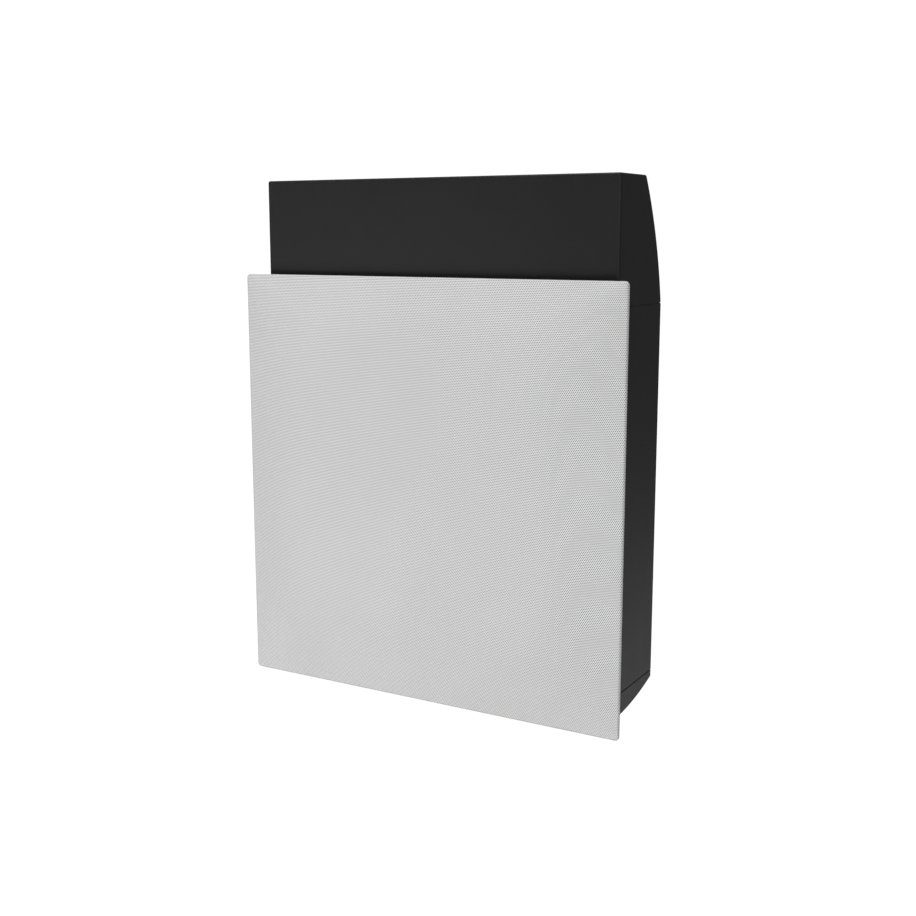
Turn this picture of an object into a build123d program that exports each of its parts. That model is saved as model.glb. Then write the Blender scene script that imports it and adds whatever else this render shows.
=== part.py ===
from build123d import *
import math
import os

# Retrofit in-wall speaker. Millimetres. X to the right as seen from the room,
# +Y into the wall, +Z up. Origin: centre of the square front frame, on the
# plane of the wall surface (the rear face of the frame's flange).

# ---------------------------------------------------------------- dimensions
BOARD = 12.7  # plasterboard between the flange and the box front
PLAY = 0.5  # free room behind the board

GRILLE = 390.0  # square grille, outside
GRILLE_FRONT = -2.65
GRILLE_BACK = -0.1
GRILLE_SHEET = 0.8
GRILLE_CORNER = 3.5
GRILLE_LIP = 12.0  # in-turned lip behind the crowned face
# The face is flat in the middle and falls away towards its edges: half width
# across the flats, fall behind the middle, and corner radius of each contour.
CROWN_AT = (
    (116.0, 0.0, 8.0),
    (122.0, 0.0954, 20.0),
    (130.0, 0.5194, 31.0),
    (140.0, 1.5264, 40.0),
    (150.0, 3.0634, 43.5),
    (160.0, 5.1304, 40.5),
    (170.0, 7.685, 30.5),
    (180.0, 10.335, 19.5),
    (188.0, 12.455, 11.0),
    (195.0, 14.31, GRILLE_CORNER),
)
CROWN = CROWN_AT[-1][1]
SHEET_Y = 0.82  # thickness of the sloping sheet, measured along Y
SCRIM = 384.0
SCRIM_T = 0.35

FLANGE = 385.0
FLANGE_T = 1.3
SLEEVE_X, SLEEVE_Z = 350.0, 330.0  # outside of the sleeve through the board
SLEEVE_T = 3.0
SHELF_T = 2.5
SHELF_X, SHELF_Z = 304.0, 302.0  # opening inside the shelf
SEAL = 1.0
BOX_FRONT = BOARD + PLAY
SHELF_BACK = BOX_FRONT - SEAL
SHELF_FRONT = SHELF_BACK - SHELF_T

BOX_W = 360.0
BOX_BACK = 109.9
BOX_TOP = 281.6
BOX_BOTTOM = -188.5
TUBE_BOTTOM, TUBE_TOP = -166.15, 172.1
SEAM = 1.1  # height of the shadow gap, filled by the cap seal further in
SEAM_DEPTH = 0.7
STEEL = 2.0
LIP = 12.0  # in-turned lip at both ends of the tube
CAP_WALL = 3.5
EDGE_R = 2.0
BOX_MID_Y = (BOX_FRONT + BOX_BACK) / 2
BOX_D = BOX_BACK - BOX_FRONT
TOP_CAP_Z = TUBE_TOP + SEAM
BOTTOM_CAP_Z = TUBE_BOTTOM - SEAM
TOP_ARC = ((68.6, BOX_TOP), (97.4, 221.6), (BOX_BACK - 0.2, TOP_CAP_Z))
BOTTOM_ARC = ((BOX_BACK - 0.4, -173.8), (69.6, -183.9), (BOX_FRONT, BOX_BOTTOM))

OPENING = 298.0  # square opening in the box front
BAFFLE_X, BAFFLE_Z, BAFFLE_T = 340.0, 324.0, 12.0
BAFFLE_FRONT = BOX_FRONT + STEEL + SEAL
BAFFLE_BACK = BAFFLE_FRONT + BAFFLE_T
REBATE = 4.8
DRIVER_SEAL = 0.8
DRIVER_PLATE = 4.0

WZ = -46.0  # woofer axis height
TZ = 102.0  # tweeter axis height
WOOFER_R = 100.0
WOOFER_HOLE_R = 90.0
WOOFER_SCREW_R = 96.4
TWEETER_R = 44.0
TWEETER_HOLE_R = 33.0
TWEETER_SCREW_R = 38.5

SCREW_R = 2.0
CLEAR_R = 2.2

MAGNET_R, MAGNET_T = 3.0, 1.0
FRAME_SCREW_AT = [(sx * 162.0, z) for sx in (-1, 1) for z in (-112.0, 0.0, 112.0)] + [
    (x, sz * 157.0) for sz in (-1, 1) for x in (-105.0, 105.0)
]
BAFFLE_SCREW_AT = [(sx * 162.0, z) for sx in (-1, 1) for z in (-56.0, 56.0)] + [
    (x, sz * 157.0) for sz in (-1, 1) for x in (-40.0, 40.0)
]
MAGNET_AT = [(sx * 187.6, z) for sx in (-1, 1) for z in (-110.0, 110.0)] + [
    (x, sz * 187.6) for sz in (-1, 1) for x in (-110.0, 110.0)
]
SIDE_SCREW_AT = [
    (sx * (BOX_W / 2 - 7.5), y) for sx in (-1, 1) for y in (36.0, 60.0, 84.0)
]
REAR_SCREW_AT = [(x, BOX_BACK - 7.5) for x in (-110.0, 0.0, 110.0)]

TERM_X, TERM_Y = -95.0, 42.0  # terminal cup on the top face
POST_AT = [(TERM_X - 13.0, TERM_Y), (TERM_X + 13.0, TERM_Y)]
CUP_FLOOR = 259.0
PUSH = 4.0  # travel of a terminal cap

BOARD_FRONT, BOARD_T = 98.3, 1.6  # crossover board
BOARD_AT = (0.0, 115.0)
BOARD_HOLE_AT = [(sx * 55.0, 115.0 + sz * 31.0) for sx in (-1, 1) for sz in (-1, 1)]
WIRE_R = 1.2

os.makedirs("parts", exist_ok=True)


def at(y):
    """Upright plane at depth y, seen from the room: x to the right, y up."""
    return Plane.XZ.offset(-y)


def circle_of(p, q, s):
    """Centre and radius of the circle through three points."""
    (ax, ay), (bx, by), (cx, cy) = p, q, s
    d = 2 * (ax * (by - cy) + bx * (cy - ay) + cx * (ay - by))
    a2, b2, c2 = ax * ax + ay * ay, bx * bx + by * by, cx * cx + cy * cy
    ux = (a2 * (by - cy) + b2 * (cy - ay) + c2 * (ay - by)) / d
    uy = (a2 * (cx - bx) + b2 * (ax - cx) + c2 * (bx - ax)) / d
    return ux, uy, math.hypot(ax - ux, ay - uy)


def dome_mid(apex, rim_r, rim_y):
    """A point half way along the round arc from the axis to the rim."""
    h = rim_y - apex
    radius = (rim_r * rim_r + h * h) / (2 * h)
    half = math.asin(rim_r / radius) / 2
    return radius * math.sin(half), apex + radius * (1 - math.cos(half))


# -------------------------------------------------------------------- grille
# Crowned steel pan that hides the whole front frame: a face that is flat in the
# middle and falls to the edges, a folded rim, and a lip turned in behind it.
with BuildPart() as grille:
    for half, fall, corner in CROWN_AT:
        with BuildSketch(at(GRILLE_FRONT - CROWN + fall)):
            RectangleRounded(2 * half, 2 * half, corner)
    loft()
    for half, fall, corner in CROWN_AT[:-1] + ((191.9, 13.4885, 6.9),):
        with BuildSketch(at(GRILLE_FRONT - CROWN + fall + SHEET_Y)):
            RectangleRounded(2 * half, 2 * half, corner)
    loft(mode=Mode.SUBTRACT)
    with BuildSketch(at(GRILLE_BACK)):
        RectangleRounded(GRILLE, GRILLE, GRILLE_CORNER)
        RectangleRounded(
            GRILLE - 2 * GRILLE_SHEET,
            GRILLE - 2 * GRILLE_SHEET,
            GRILLE_CORNER - GRILLE_SHEET,
            mode=Mode.SUBTRACT,
        )
    extrude(amount=GRILLE_BACK - GRILLE_FRONT)
    with BuildSketch(at(GRILLE_FRONT + GRILLE_SHEET)):
        RectangleRounded(GRILLE, GRILLE, GRILLE_CORNER)
        RectangleRounded(
            GRILLE - 2 * GRILLE_LIP, GRILLE - 2 * GRILLE_LIP, 3.0, mode=Mode.SUBTRACT
        )
    extrude(amount=GRILLE_SHEET)
    rim = grille.edges().filter_by_position(
        Axis.Y, GRILLE_FRONT - 0.005, GRILLE_FRONT + 0.005
    )
    fillet(
        rim.filter_by(
            lambda e: max(abs(e.center().X), abs(e.center().Z)) > GRILLE / 2 - 2.0
        ),
        radius=0.9,
    )
grille.part.label = "grille"
export_step(grille.part, "parts/grille.step")

# Acoustic cloth stretched flat across the back of the grille, bonded to its lip.
with BuildPart() as grille_scrim:
    with BuildSketch(at(GRILLE_FRONT + GRILLE_SHEET + SCRIM_T)):
        RectangleRounded(SCRIM, SCRIM, 3.0)
    extrude(amount=SCRIM_T)
grille_scrim.part.label = "grille_scrim"
export_step(grille_scrim.part, "parts/grille_scrim.step")

# --------------------------------------------------------------- front frame
# Moulded tray: thin flange on the wall with pockets for the magnets that hold
# the grille by its lip, sleeve through the board, shelf screwed to the box.
with BuildPart() as front_frame:
    with BuildSketch(at(0)):
        RectangleRounded(FLANGE, FLANGE, 3.5)
        RectangleRounded(
            SLEEVE_X - 2 * SLEEVE_T, SLEEVE_Z - 2 * SLEEVE_T, 4.0, mode=Mode.SUBTRACT
        )
    extrude(amount=FLANGE_T)
    with BuildSketch(at(SHELF_BACK)):
        RectangleRounded(SLEEVE_X, SLEEVE_Z, 7.0)
        RectangleRounded(
            SLEEVE_X - 2 * SLEEVE_T, SLEEVE_Z - 2 * SLEEVE_T, 4.0, mode=Mode.SUBTRACT
        )
    extrude(amount=SHELF_BACK)
    with BuildSketch(at(SHELF_BACK)):
        RectangleRounded(SLEEVE_X, SLEEVE_Z, 7.0)
        RectangleRounded(SHELF_X, SHELF_Z, 9.0, mode=Mode.SUBTRACT)
    extrude(amount=SHELF_T)
    with BuildSketch(at(-FLANGE_T)):
        with Locations(*MAGNET_AT):
            Circle(MAGNET_R)
    extrude(amount=-MAGNET_T, mode=Mode.SUBTRACT)
    with BuildSketch(at(SHELF_BACK)):
        with Locations(*FRAME_SCREW_AT):
            Circle(CLEAR_R)
    extrude(amount=SHELF_T, mode=Mode.SUBTRACT)
front_frame.part.label = "front_frame"
export_step(front_frame.part, "parts/front_frame.step")

with BuildPart() as grille_magnets:
    with BuildSketch(at(-FLANGE_T + MAGNET_T)):
        with Locations(*MAGNET_AT):
            Circle(MAGNET_R)
    extrude(amount=MAGNET_T)
grille_magnets.part.label = "grille_magnets"
export_step(grille_magnets.part, "parts/grille_magnets.step")

# Foam seal between the frame's shelf and the box front.
with BuildPart() as frame_seal:
    with BuildSketch(at(BOX_FRONT)):
        RectangleRounded(SLEEVE_X - 2.0, SLEEVE_Z - 2.0, 6.0)
        RectangleRounded(SHELF_X + 1.0, SHELF_Z + 1.0, 9.0, mode=Mode.SUBTRACT)
        with Locations(*FRAME_SCREW_AT):
            Circle(CLEAR_R, mode=Mode.SUBTRACT)
    extrude(amount=SEAL)
frame_seal.part.label = "frame_seal"
export_step(frame_seal.part, "parts/frame_seal.step")

# Pan head screws: frame, box front, baffle.
with BuildPart() as frame_screws:
    with BuildSketch(at(SHELF_FRONT)):
        with Locations(*FRAME_SCREW_AT):
            Circle(3.8)
    extrude(amount=2.4)
    fillet(frame_screws.edges().group_by(Axis.Y)[0], radius=1.0)
    with BuildSketch(at(SHELF_FRONT - 2.4)):
        with Locations(*FRAME_SCREW_AT):
            Rectangle(3.6, 0.8)
            Rectangle(0.8, 3.6)
    extrude(amount=-1.4, mode=Mode.SUBTRACT)
    with BuildSketch(at(SHELF_FRONT)):
        with Locations(*FRAME_SCREW_AT):
            Circle(SCREW_R)
    extrude(amount=-16.0)
frame_screws.part.label = "frame_screws"
export_step(frame_screws.part, "parts/frame_screws.step")

# ----------------------------------------------------------------------- box
# Middle section: folded sheet steel tube, lips turned in at both ends, square
# opening in the front.
with BuildPart() as body_tube:
    with BuildSketch(Plane.XY.offset(TUBE_BOTTOM)):
        with Locations((0, BOX_MID_Y)):
            RectangleRounded(BOX_W, BOX_D, EDGE_R)
            RectangleRounded(
                BOX_W - 2 * STEEL, BOX_D - 2 * STEEL, 0.6, mode=Mode.SUBTRACT
            )
    extrude(amount=TUBE_TOP - TUBE_BOTTOM)
    for lip_z in (TUBE_BOTTOM, TUBE_TOP - STEEL):
        with BuildSketch(Plane.XY.offset(lip_z)):
            with Locations((0, BOX_MID_Y)):
                RectangleRounded(BOX_W, BOX_D, EDGE_R)
                RectangleRounded(
                    BOX_W - 2 * LIP, BOX_D - 2 * LIP, 3.0, mode=Mode.SUBTRACT
                )
        extrude(amount=STEEL)
    with BuildSketch(at(BOX_FRONT)):
        RectangleRounded(OPENING, OPENING, 0.5)
    extrude(amount=-STEEL, mode=Mode.SUBTRACT)
    with BuildSketch(at(BOX_FRONT)):
        with Locations(*FRAME_SCREW_AT):
            Circle(CLEAR_R)
        with Locations(*BAFFLE_SCREW_AT):
            Circle(SCREW_R)
    extrude(amount=-STEEL, mode=Mode.SUBTRACT)
    for x, z in BAFFLE_SCREW_AT:
        with BuildSketch(Plane.XY.offset(z)):
            with BuildLine():
                Polyline(
                    (x, BOX_FRONT),
                    (x + 3.6, BOX_FRONT),
                    (x + SCREW_R, BOX_FRONT + 1.6),
                    (x, BOX_FRONT + 1.6),
                    close=True,
                )
            make_face()
        revolve(axis=Axis((x, 0, z), (0, 1, 0)), mode=Mode.SUBTRACT)
    with BuildSketch(Plane.XY.offset(TUBE_BOTTOM)):
        with Locations(*SIDE_SCREW_AT):
            Circle(CLEAR_R)
    extrude(amount=STEEL, mode=Mode.SUBTRACT)
    with BuildSketch(Plane.XY.offset(TUBE_TOP - STEEL)):
        with Locations(*SIDE_SCREW_AT, *REAR_SCREW_AT):
            Circle(CLEAR_R)
    extrude(amount=STEEL, mode=Mode.SUBTRACT)
body_tube.part.label = "body_tube"
export_step(body_tube.part, "parts/body_tube.step")

# Space inside the top cap, less its screw bosses and the terminal pad.
top_yc, top_zc, top_r = circle_of(*TOP_ARC)
inner_r = top_r - CAP_WALL
roof = BOX_TOP - CAP_WALL


def top_inner_y(z):
    return top_yc + math.sqrt(inner_r**2 - (z - top_zc) ** 2)


with BuildPart() as top_hollow:
    with BuildSketch(Plane.YZ):
        with BuildLine():
            Polyline(
                (top_inner_y(TOP_CAP_Z), TOP_CAP_Z),
                (BOX_FRONT + CAP_WALL, TOP_CAP_Z),
                (BOX_FRONT + CAP_WALL, roof),
                (top_inner_y(roof), roof),
            )
            ThreePointArc(
                (top_inner_y(roof), roof),
                (top_inner_y(225.0), 225.0),
                (top_inner_y(TOP_CAP_Z), TOP_CAP_Z),
            )
        make_face()
    extrude(amount=BOX_W / 2 - CAP_WALL, both=True)
    with BuildSketch(Plane.XY.offset(TOP_CAP_Z)):
        with Locations(*SIDE_SCREW_AT, *REAR_SCREW_AT):
            Circle(4.6)
    extrude(amount=14.0, mode=Mode.SUBTRACT)
    with BuildSketch(Plane.XY.offset(roof - 4.0)):
        with Locations((TERM_X, TERM_Y)):
            RectangleRounded(72.0, 52.0, 5.0)
    extrude(amount=4.0, mode=Mode.SUBTRACT)

# Top cap: moulded hood whose back leans forward in one long curve.
with BuildPart() as top_cap:
    with BuildSketch(Plane.YZ):
        with BuildLine():
            Polyline(
                TOP_ARC[2], (BOX_FRONT, TOP_CAP_Z), (BOX_FRONT, BOX_TOP), TOP_ARC[0]
            )
            ThreePointArc(*TOP_ARC)
        make_face()
    extrude(amount=BOX_W / 2, both=True)
    fillet(
        top_cap.edges().filter_by(lambda e: e.center().Z > TOP_CAP_Z + 0.5),
        radius=EDGE_R,
    )
    add(top_hollow.part, mode=Mode.SUBTRACT)
    with BuildSketch(Plane.XY.offset(TOP_CAP_Z)):
        with Locations(*SIDE_SCREW_AT, *REAR_SCREW_AT):
            Circle(SCREW_R)
    extrude(amount=9.0, mode=Mode.SUBTRACT)
    with BuildSketch(Plane.XY.offset(BOX_TOP)):
        with Locations((TERM_X, TERM_Y)):
            RectangleRounded(64.0, 44.0, 4.0)
    extrude(amount=-2.0, mode=Mode.SUBTRACT)
    with BuildSketch(Plane.XY.offset(BOX_TOP)):
        with Locations((TERM_X, TERM_Y)):
            RectangleRounded(54.0, 34.0, 3.0)
    extrude(amount=-10.0, mode=Mode.SUBTRACT)
    with BuildSketch(Plane.XY.offset(BOX_TOP - 2.0)):
        with Locations((TERM_X, TERM_Y)):
            with GridLocations(57.6, 37.6, 2, 2):
                Circle(1.4)
    extrude(amount=-4.0, mode=Mode.SUBTRACT)
top_cap.part.label = "top_cap"
export_step(top_cap.part, "parts/top_cap.step")

# Space inside the bottom cap, less its screw bosses.
low_yc, low_zc, low_r = circle_of(*BOTTOM_ARC)
low_inner_r = low_r - CAP_WALL


def low_inner_z(y):
    return low_zc - math.sqrt(low_inner_r**2 - (y - low_yc) ** 2)


low_back_y = low_yc + math.sqrt(low_inner_r**2 - (BOTTOM_CAP_Z - low_zc) ** 2)
with BuildPart() as bottom_hollow:
    with BuildSketch(Plane.YZ):
        with BuildLine():
            front_y = BOX_FRONT + CAP_WALL
            Polyline(
                (low_back_y, BOTTOM_CAP_Z),
                (front_y, BOTTOM_CAP_Z),
                (front_y, low_inner_z(front_y)),
            )
            ThreePointArc(
                (front_y, low_inner_z(front_y)),
                (65.0, low_inner_z(65.0)),
                (low_back_y, BOTTOM_CAP_Z),
            )
        make_face()
    extrude(amount=BOX_W / 2 - CAP_WALL, both=True)
    with BuildSketch(Plane.XY.offset(BOTTOM_CAP_Z)):
        with Locations(*SIDE_SCREW_AT):
            Circle(4.6)
    extrude(amount=-20.0, mode=Mode.SUBTRACT)

# Bottom cap: shallow moulded pan whose underside curves up to the back.
with BuildPart() as bottom_cap:
    with BuildSketch(Plane.YZ):
        with BuildLine():
            Polyline(
                BOTTOM_ARC[2],
                (BOX_FRONT, BOTTOM_CAP_Z),
                (BOX_BACK - 0.2, BOTTOM_CAP_Z),
                BOTTOM_ARC[0],
            )
            ThreePointArc(*BOTTOM_ARC)
        make_face()
    extrude(amount=BOX_W / 2, both=True)
    fillet(
        bottom_cap.edges().filter_by(lambda e: e.center().Z < BOTTOM_CAP_Z - 0.5),
        radius=EDGE_R,
    )
    add(bottom_hollow.part, mode=Mode.SUBTRACT)
    with BuildSketch(Plane.XY.offset(BOTTOM_CAP_Z)):
        with Locations(*SIDE_SCREW_AT):
            Circle(SCREW_R)
    extrude(amount=-6.5, mode=Mode.SUBTRACT)
bottom_cap.part.label = "bottom_cap"
export_step(bottom_cap.part, "parts/bottom_cap.step")

# Seals set back inside both seams, so that each seam shows as a shadow gap.
with BuildPart() as cap_seals:
    for seal_z, holes in (
        (TUBE_TOP, SIDE_SCREW_AT + REAR_SCREW_AT),
        (BOTTOM_CAP_Z, SIDE_SCREW_AT),
    ):
        with BuildSketch(Plane.XY.offset(seal_z)):
            with Locations((0, BOX_MID_Y)):
                RectangleRounded(BOX_W - 2 * SEAM_DEPTH, BOX_D - 2 * SEAM_DEPTH, 1.0)
                RectangleRounded(
                    BOX_W - 2 * LIP, BOX_D - 2 * LIP, 3.0, mode=Mode.SUBTRACT
                )
            with Locations(*holes):
                Circle(CLEAR_R, mode=Mode.SUBTRACT)
        extrude(amount=SEAM)
cap_seals.part.label = "cap_seals"
export_step(cap_seals.part, "parts/cap_seals.step")

# Screws from inside the tube, through its lips, into the bosses of the caps.
with BuildPart() as cap_screws:
    with BuildSketch(Plane.XY.offset(TUBE_TOP - STEEL)):
        with Locations(*SIDE_SCREW_AT, *REAR_SCREW_AT):
            Circle(3.6)
    extrude(amount=-2.4)
    with BuildSketch(Plane.XY.offset(TUBE_TOP - STEEL)):
        with Locations(*SIDE_SCREW_AT, *REAR_SCREW_AT):
            Circle(SCREW_R)
    extrude(amount=STEEL + SEAM + 8.0)
    with BuildSketch(Plane.XY.offset(TUBE_BOTTOM + STEEL)):
        with Locations(*SIDE_SCREW_AT):
            Circle(3.6)
    extrude(amount=2.4)
    with BuildSketch(Plane.XY.offset(TUBE_BOTTOM + STEEL)):
        with Locations(*SIDE_SCREW_AT):
            Circle(SCREW_R)
    extrude(amount=-(STEEL + SEAM + 6.0))
cap_screws.part.label = "cap_screws"
export_step(cap_screws.part, "parts/cap_screws.step")

# -------------------------------------------------------------------- baffle
# Fibreboard panel behind the box front, rebated so that both drivers are flush.
WOOFER_SCREW_AT = [
    (
        WOOFER_SCREW_R * math.cos(math.radians(a)),
        WZ + WOOFER_SCREW_R * math.sin(math.radians(a)),
    )
    for a in range(0, 360, 45)
]
TWEETER_SCREW_AT = [
    (
        TWEETER_SCREW_R * math.cos(math.radians(a)),
        TZ + TWEETER_SCREW_R * math.sin(math.radians(a)),
    )
    for a in range(45, 405, 90)
]
with BuildPart() as baffle:
    with BuildSketch(at(BAFFLE_BACK)):
        Rectangle(BAFFLE_X, BAFFLE_Z)
    extrude(amount=BAFFLE_T)
    with BuildSketch(at(BAFFLE_FRONT)):
        with Locations((0, WZ)):
            Circle(WOOFER_R + 0.6)
        with Locations((0, TZ)):
            Circle(TWEETER_R + 0.6)
    extrude(amount=-REBATE, mode=Mode.SUBTRACT)
    with BuildSketch(at(BAFFLE_FRONT)):
        with Locations((0, WZ)):
            Circle(WOOFER_HOLE_R)
        with Locations((0, TZ)):
            Circle(TWEETER_HOLE_R)
    extrude(amount=-BAFFLE_T, mode=Mode.SUBTRACT)
    with BuildSketch(at(BAFFLE_FRONT)):
        with Locations(*FRAME_SCREW_AT, *BAFFLE_SCREW_AT):
            Circle(SCREW_R)
    extrude(amount=-10.0, mode=Mode.SUBTRACT)
    with BuildSketch(at(BAFFLE_FRONT + REBATE)):
        with Locations(*WOOFER_SCREW_AT, *TWEETER_SCREW_AT):
            Circle(1.6)
    extrude(amount=-6.5, mode=Mode.SUBTRACT)
baffle.part.label = "baffle"
export_step(baffle.part, "parts/baffle.step")

with BuildPart() as baffle_seal:
    with BuildSketch(at(BAFFLE_FRONT)):
        Rectangle(BAFFLE_X - 4.0, BAFFLE_Z - 2.0)
        RectangleRounded(OPENING + 2.0, OPENING + 2.0, 1.0, mode=Mode.SUBTRACT)
        with Locations(*FRAME_SCREW_AT, *BAFFLE_SCREW_AT):
            Circle(CLEAR_R, mode=Mode.SUBTRACT)
    extrude(amount=SEAL)
baffle_seal.part.label = "baffle_seal"
export_step(baffle_seal.part, "parts/baffle_seal.step")

# Countersunk screws that hold the baffle to the box front.
with BuildPart() as baffle_screws:
    for x, z in BAFFLE_SCREW_AT:
        with BuildSketch(Plane.XY.offset(z)):
            with BuildLine():
                Polyline(
                    (x, BOX_FRONT),
                    (x + 3.6, BOX_FRONT),
                    (x + SCREW_R, BOX_FRONT + 1.6),
                    (x + SCREW_R, BAFFLE_FRONT + 9.0),
                    (x, BAFFLE_FRONT + 9.0),
                    close=True,
                )
            make_face()
        revolve(axis=Axis((x, 0, z), (0, 1, 0)))
    with BuildSketch(at(BOX_FRONT)):
        with Locations(*BAFFLE_SCREW_AT):
            Rectangle(3.4, 0.8)
            Rectangle(0.8, 3.4)
    extrude(amount=-1.2, mode=Mode.SUBTRACT)
baffle_screws.part.label = "baffle_screws"
export_step(baffle_screws.part, "parts/baffle_screws.step")

# Two upright braces between the baffle and the back of the box.
with BuildPart() as braces:
    for brace_x in (-140.0, 128.0):
        with BuildSketch(Plane.YZ.offset(brace_x)):
            with Locations(((BAFFLE_BACK + BOX_BACK - STEEL) / 2, -50.0)):
                Rectangle(BOX_BACK - STEEL - BAFFLE_BACK, 200.0)
                with GridLocations(0, 64.0, 1, 3):
                    Circle(24.0, mode=Mode.SUBTRACT)
        extrude(amount=12.0)
braces.part.label = "braces"
export_step(braces.part, "parts/braces.step")

# Soft wadding on the back wall and in the top cap.
with BuildPart() as damping_back:
    with BuildSketch(at(BOX_BACK - STEEL)):
        with Locations((0, -49.0)):
            RectangleRounded(248.0, 222.0, 8.0)
    extrude(amount=18.0)
damping_back.part.label = "damping_back"
export_step(damping_back.part, "parts/damping_back.step")

with BuildPart() as damping_top:
    with BuildSketch(at(70.0)):
        with Locations((62.5, 226.0)):
            RectangleRounded(205.0, 72.0, 10.0)
    extrude(amount=70.0 - BOX_FRONT - CAP_WALL)
damping_top.part.label = "damping_top"
export_step(damping_top.part, "parts/damping_top.step")

# -------------------------------------------------------------------- woofer
W_PLANE = Plane.XY.offset(WZ)  # sketch x is the radius, sketch y is the depth
W_AXIS = Axis((0, 0, WZ), (0, 1, 0))
Y0 = BAFFLE_FRONT  # front of the driver plates
SHOULDER = Y0 + 1.7  # seat of the surround's outer lip
ROLL_R, ROLL_MID = 79.0, SHOULDER - 0.3  # centre of the half roll
SURROUND_T = 0.6
CONE_IN = 67.0  # radius where the cone starts
CONE_SLOPE = 0.474
CONE_T = 0.885  # wall of the cone along the axis
FORMER_R = 18.9
NECK_Y = SHOULDER + (CONE_IN - FORMER_R) * CONE_SLOPE
PLATE_Y = 55.5  # front of the magnet's top plate


def cone_y(radius):
    """Depth of the cone's front surface at a radius."""
    return SHOULDER + (CONE_IN - radius) * CONE_SLOPE


with BuildPart() as woofer_basket:
    with BuildSketch(W_PLANE):
        with BuildLine():
            Polyline(
                (WOOFER_R, Y0 + 0.6),
                (WOOFER_R - 0.6, Y0),
                (93.0, Y0),
                (93.0, SHOULDER),
                (85.5, SHOULDER),
                (85.5, Y0 + 4.5),
                (83.0, Y0 + 7.5),
                (76.0, 34.0),
                (56.0, 45.0),
                (46.5, 45.0),
                (46.5, 53.0),
                (34.0, 53.0),
                (34.0, PLATE_Y),
                (49.0, PLATE_Y),
                (49.0, 47.5),
                (57.0, 47.5),
                (78.5, 36.5),
                (86.0, Y0 + 8.5),
                (88.5, Y0 + DRIVER_PLATE),
                (WOOFER_R, Y0 + DRIVER_PLATE),
                close=True,
            )
        make_face()
    revolve(axis=W_AXIS)
    # windows between six spokes
    with BuildSketch(at(46.5)):
        with Locations((0, WZ)):
            Circle(81.0)
            Circle(58.5, mode=Mode.SUBTRACT)
            for spoke in (30, 90, 150):
                Rectangle(180.0, 13.0, rotation=spoke, mode=Mode.SUBTRACT)
    extrude(amount=46.5 - (Y0 + 5.2), mode=Mode.SUBTRACT)
    with BuildSketch(at(Y0)):
        with Locations(*WOOFER_SCREW_AT):
            Circle(1.8)
    extrude(amount=-DRIVER_PLATE, mode=Mode.SUBTRACT)
woofer_basket.part.label = "woofer_basket"
export_step(woofer_basket.part, "parts/woofer_basket.step")

with BuildPart() as woofer_seal:
    with BuildSketch(at(Y0 + REBATE)):
        with Locations((0, WZ)):
            Circle(WOOFER_R)
            Circle(WOOFER_HOLE_R + 0.5, mode=Mode.SUBTRACT)
        with Locations(*WOOFER_SCREW_AT):
            Circle(1.8, mode=Mode.SUBTRACT)
    extrude(amount=DRIVER_SEAL)
woofer_seal.part.label = "woofer_seal"
export_step(woofer_seal.part, "parts/woofer_seal.step")

with BuildPart() as woofer_screws:
    with BuildSketch(at(Y0)):
        with Locations(*WOOFER_SCREW_AT):
            Circle(3.0)
    extrude(amount=2.2)
    fillet(woofer_screws.edges().group_by(Axis.Y)[0], radius=0.5)
    with BuildSketch(at(Y0 - 2.2)):
        with Locations(*WOOFER_SCREW_AT):
            RegularPolygon(1.5, 6)
    extrude(amount=-1.5, mode=Mode.SUBTRACT)
    with BuildSketch(at(Y0)):
        with Locations(*WOOFER_SCREW_AT):
            Circle(1.6)
    extrude(amount=-10.6)
woofer_screws.part.label = "woofer_screws"
export_step(woofer_screws.part, "parts/woofer_screws.step")

# Ring that covers the surround's glued lip.
with BuildPart() as woofer_trim_ring:
    with BuildSketch(W_PLANE):
        with BuildLine():
            Polyline(
                (92.8, SHOULDER - SURROUND_T),
                (92.8, Y0 + 0.1),
                (92.0, Y0 - 0.6),
                (88.0, Y0 - 0.6),
                (86.4, Y0 + 0.4),
                (86.4, SHOULDER - SURROUND_T),
                close=True,
            )
        make_face()
    revolve(axis=W_AXIS)
woofer_trim_ring.part.label = "woofer_trim_ring"
export_step(woofer_trim_ring.part, "parts/woofer_trim_ring.step")

# Half-roll rubber surround.
roll_out, roll_in = 6.6, 6.0
dx_out = math.sqrt(roll_out**2 - 0.3**2)
dx_in = math.sqrt(roll_in**2 - 0.3**2)
with BuildPart() as woofer_surround:
    with BuildSketch(W_PLANE):
        with BuildLine():
            Polyline(
                (ROLL_R + dx_in, SHOULDER),
                (92.8, SHOULDER),
                (92.8, SHOULDER - SURROUND_T),
                (ROLL_R + dx_out, SHOULDER - SURROUND_T),
            )
            ThreePointArc(
                (ROLL_R + dx_out, SHOULDER - SURROUND_T),
                (ROLL_R, ROLL_MID - roll_out),
                (ROLL_R - dx_out, SHOULDER - SURROUND_T),
            )
            Polyline(
                (ROLL_R - dx_out, SHOULDER - SURROUND_T),
                (67.5, SHOULDER - SURROUND_T),
                (67.5, SHOULDER),
                (ROLL_R - dx_in, SHOULDER),
            )
            ThreePointArc(
                (ROLL_R - dx_in, SHOULDER),
                (ROLL_R, ROLL_MID - roll_in),
                (ROLL_R + dx_in, SHOULDER),
            )
        make_face()
    revolve(axis=W_AXIS)
woofer_surround.part.label = "woofer_surround"
export_step(woofer_surround.part, "parts/woofer_surround.step")

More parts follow.
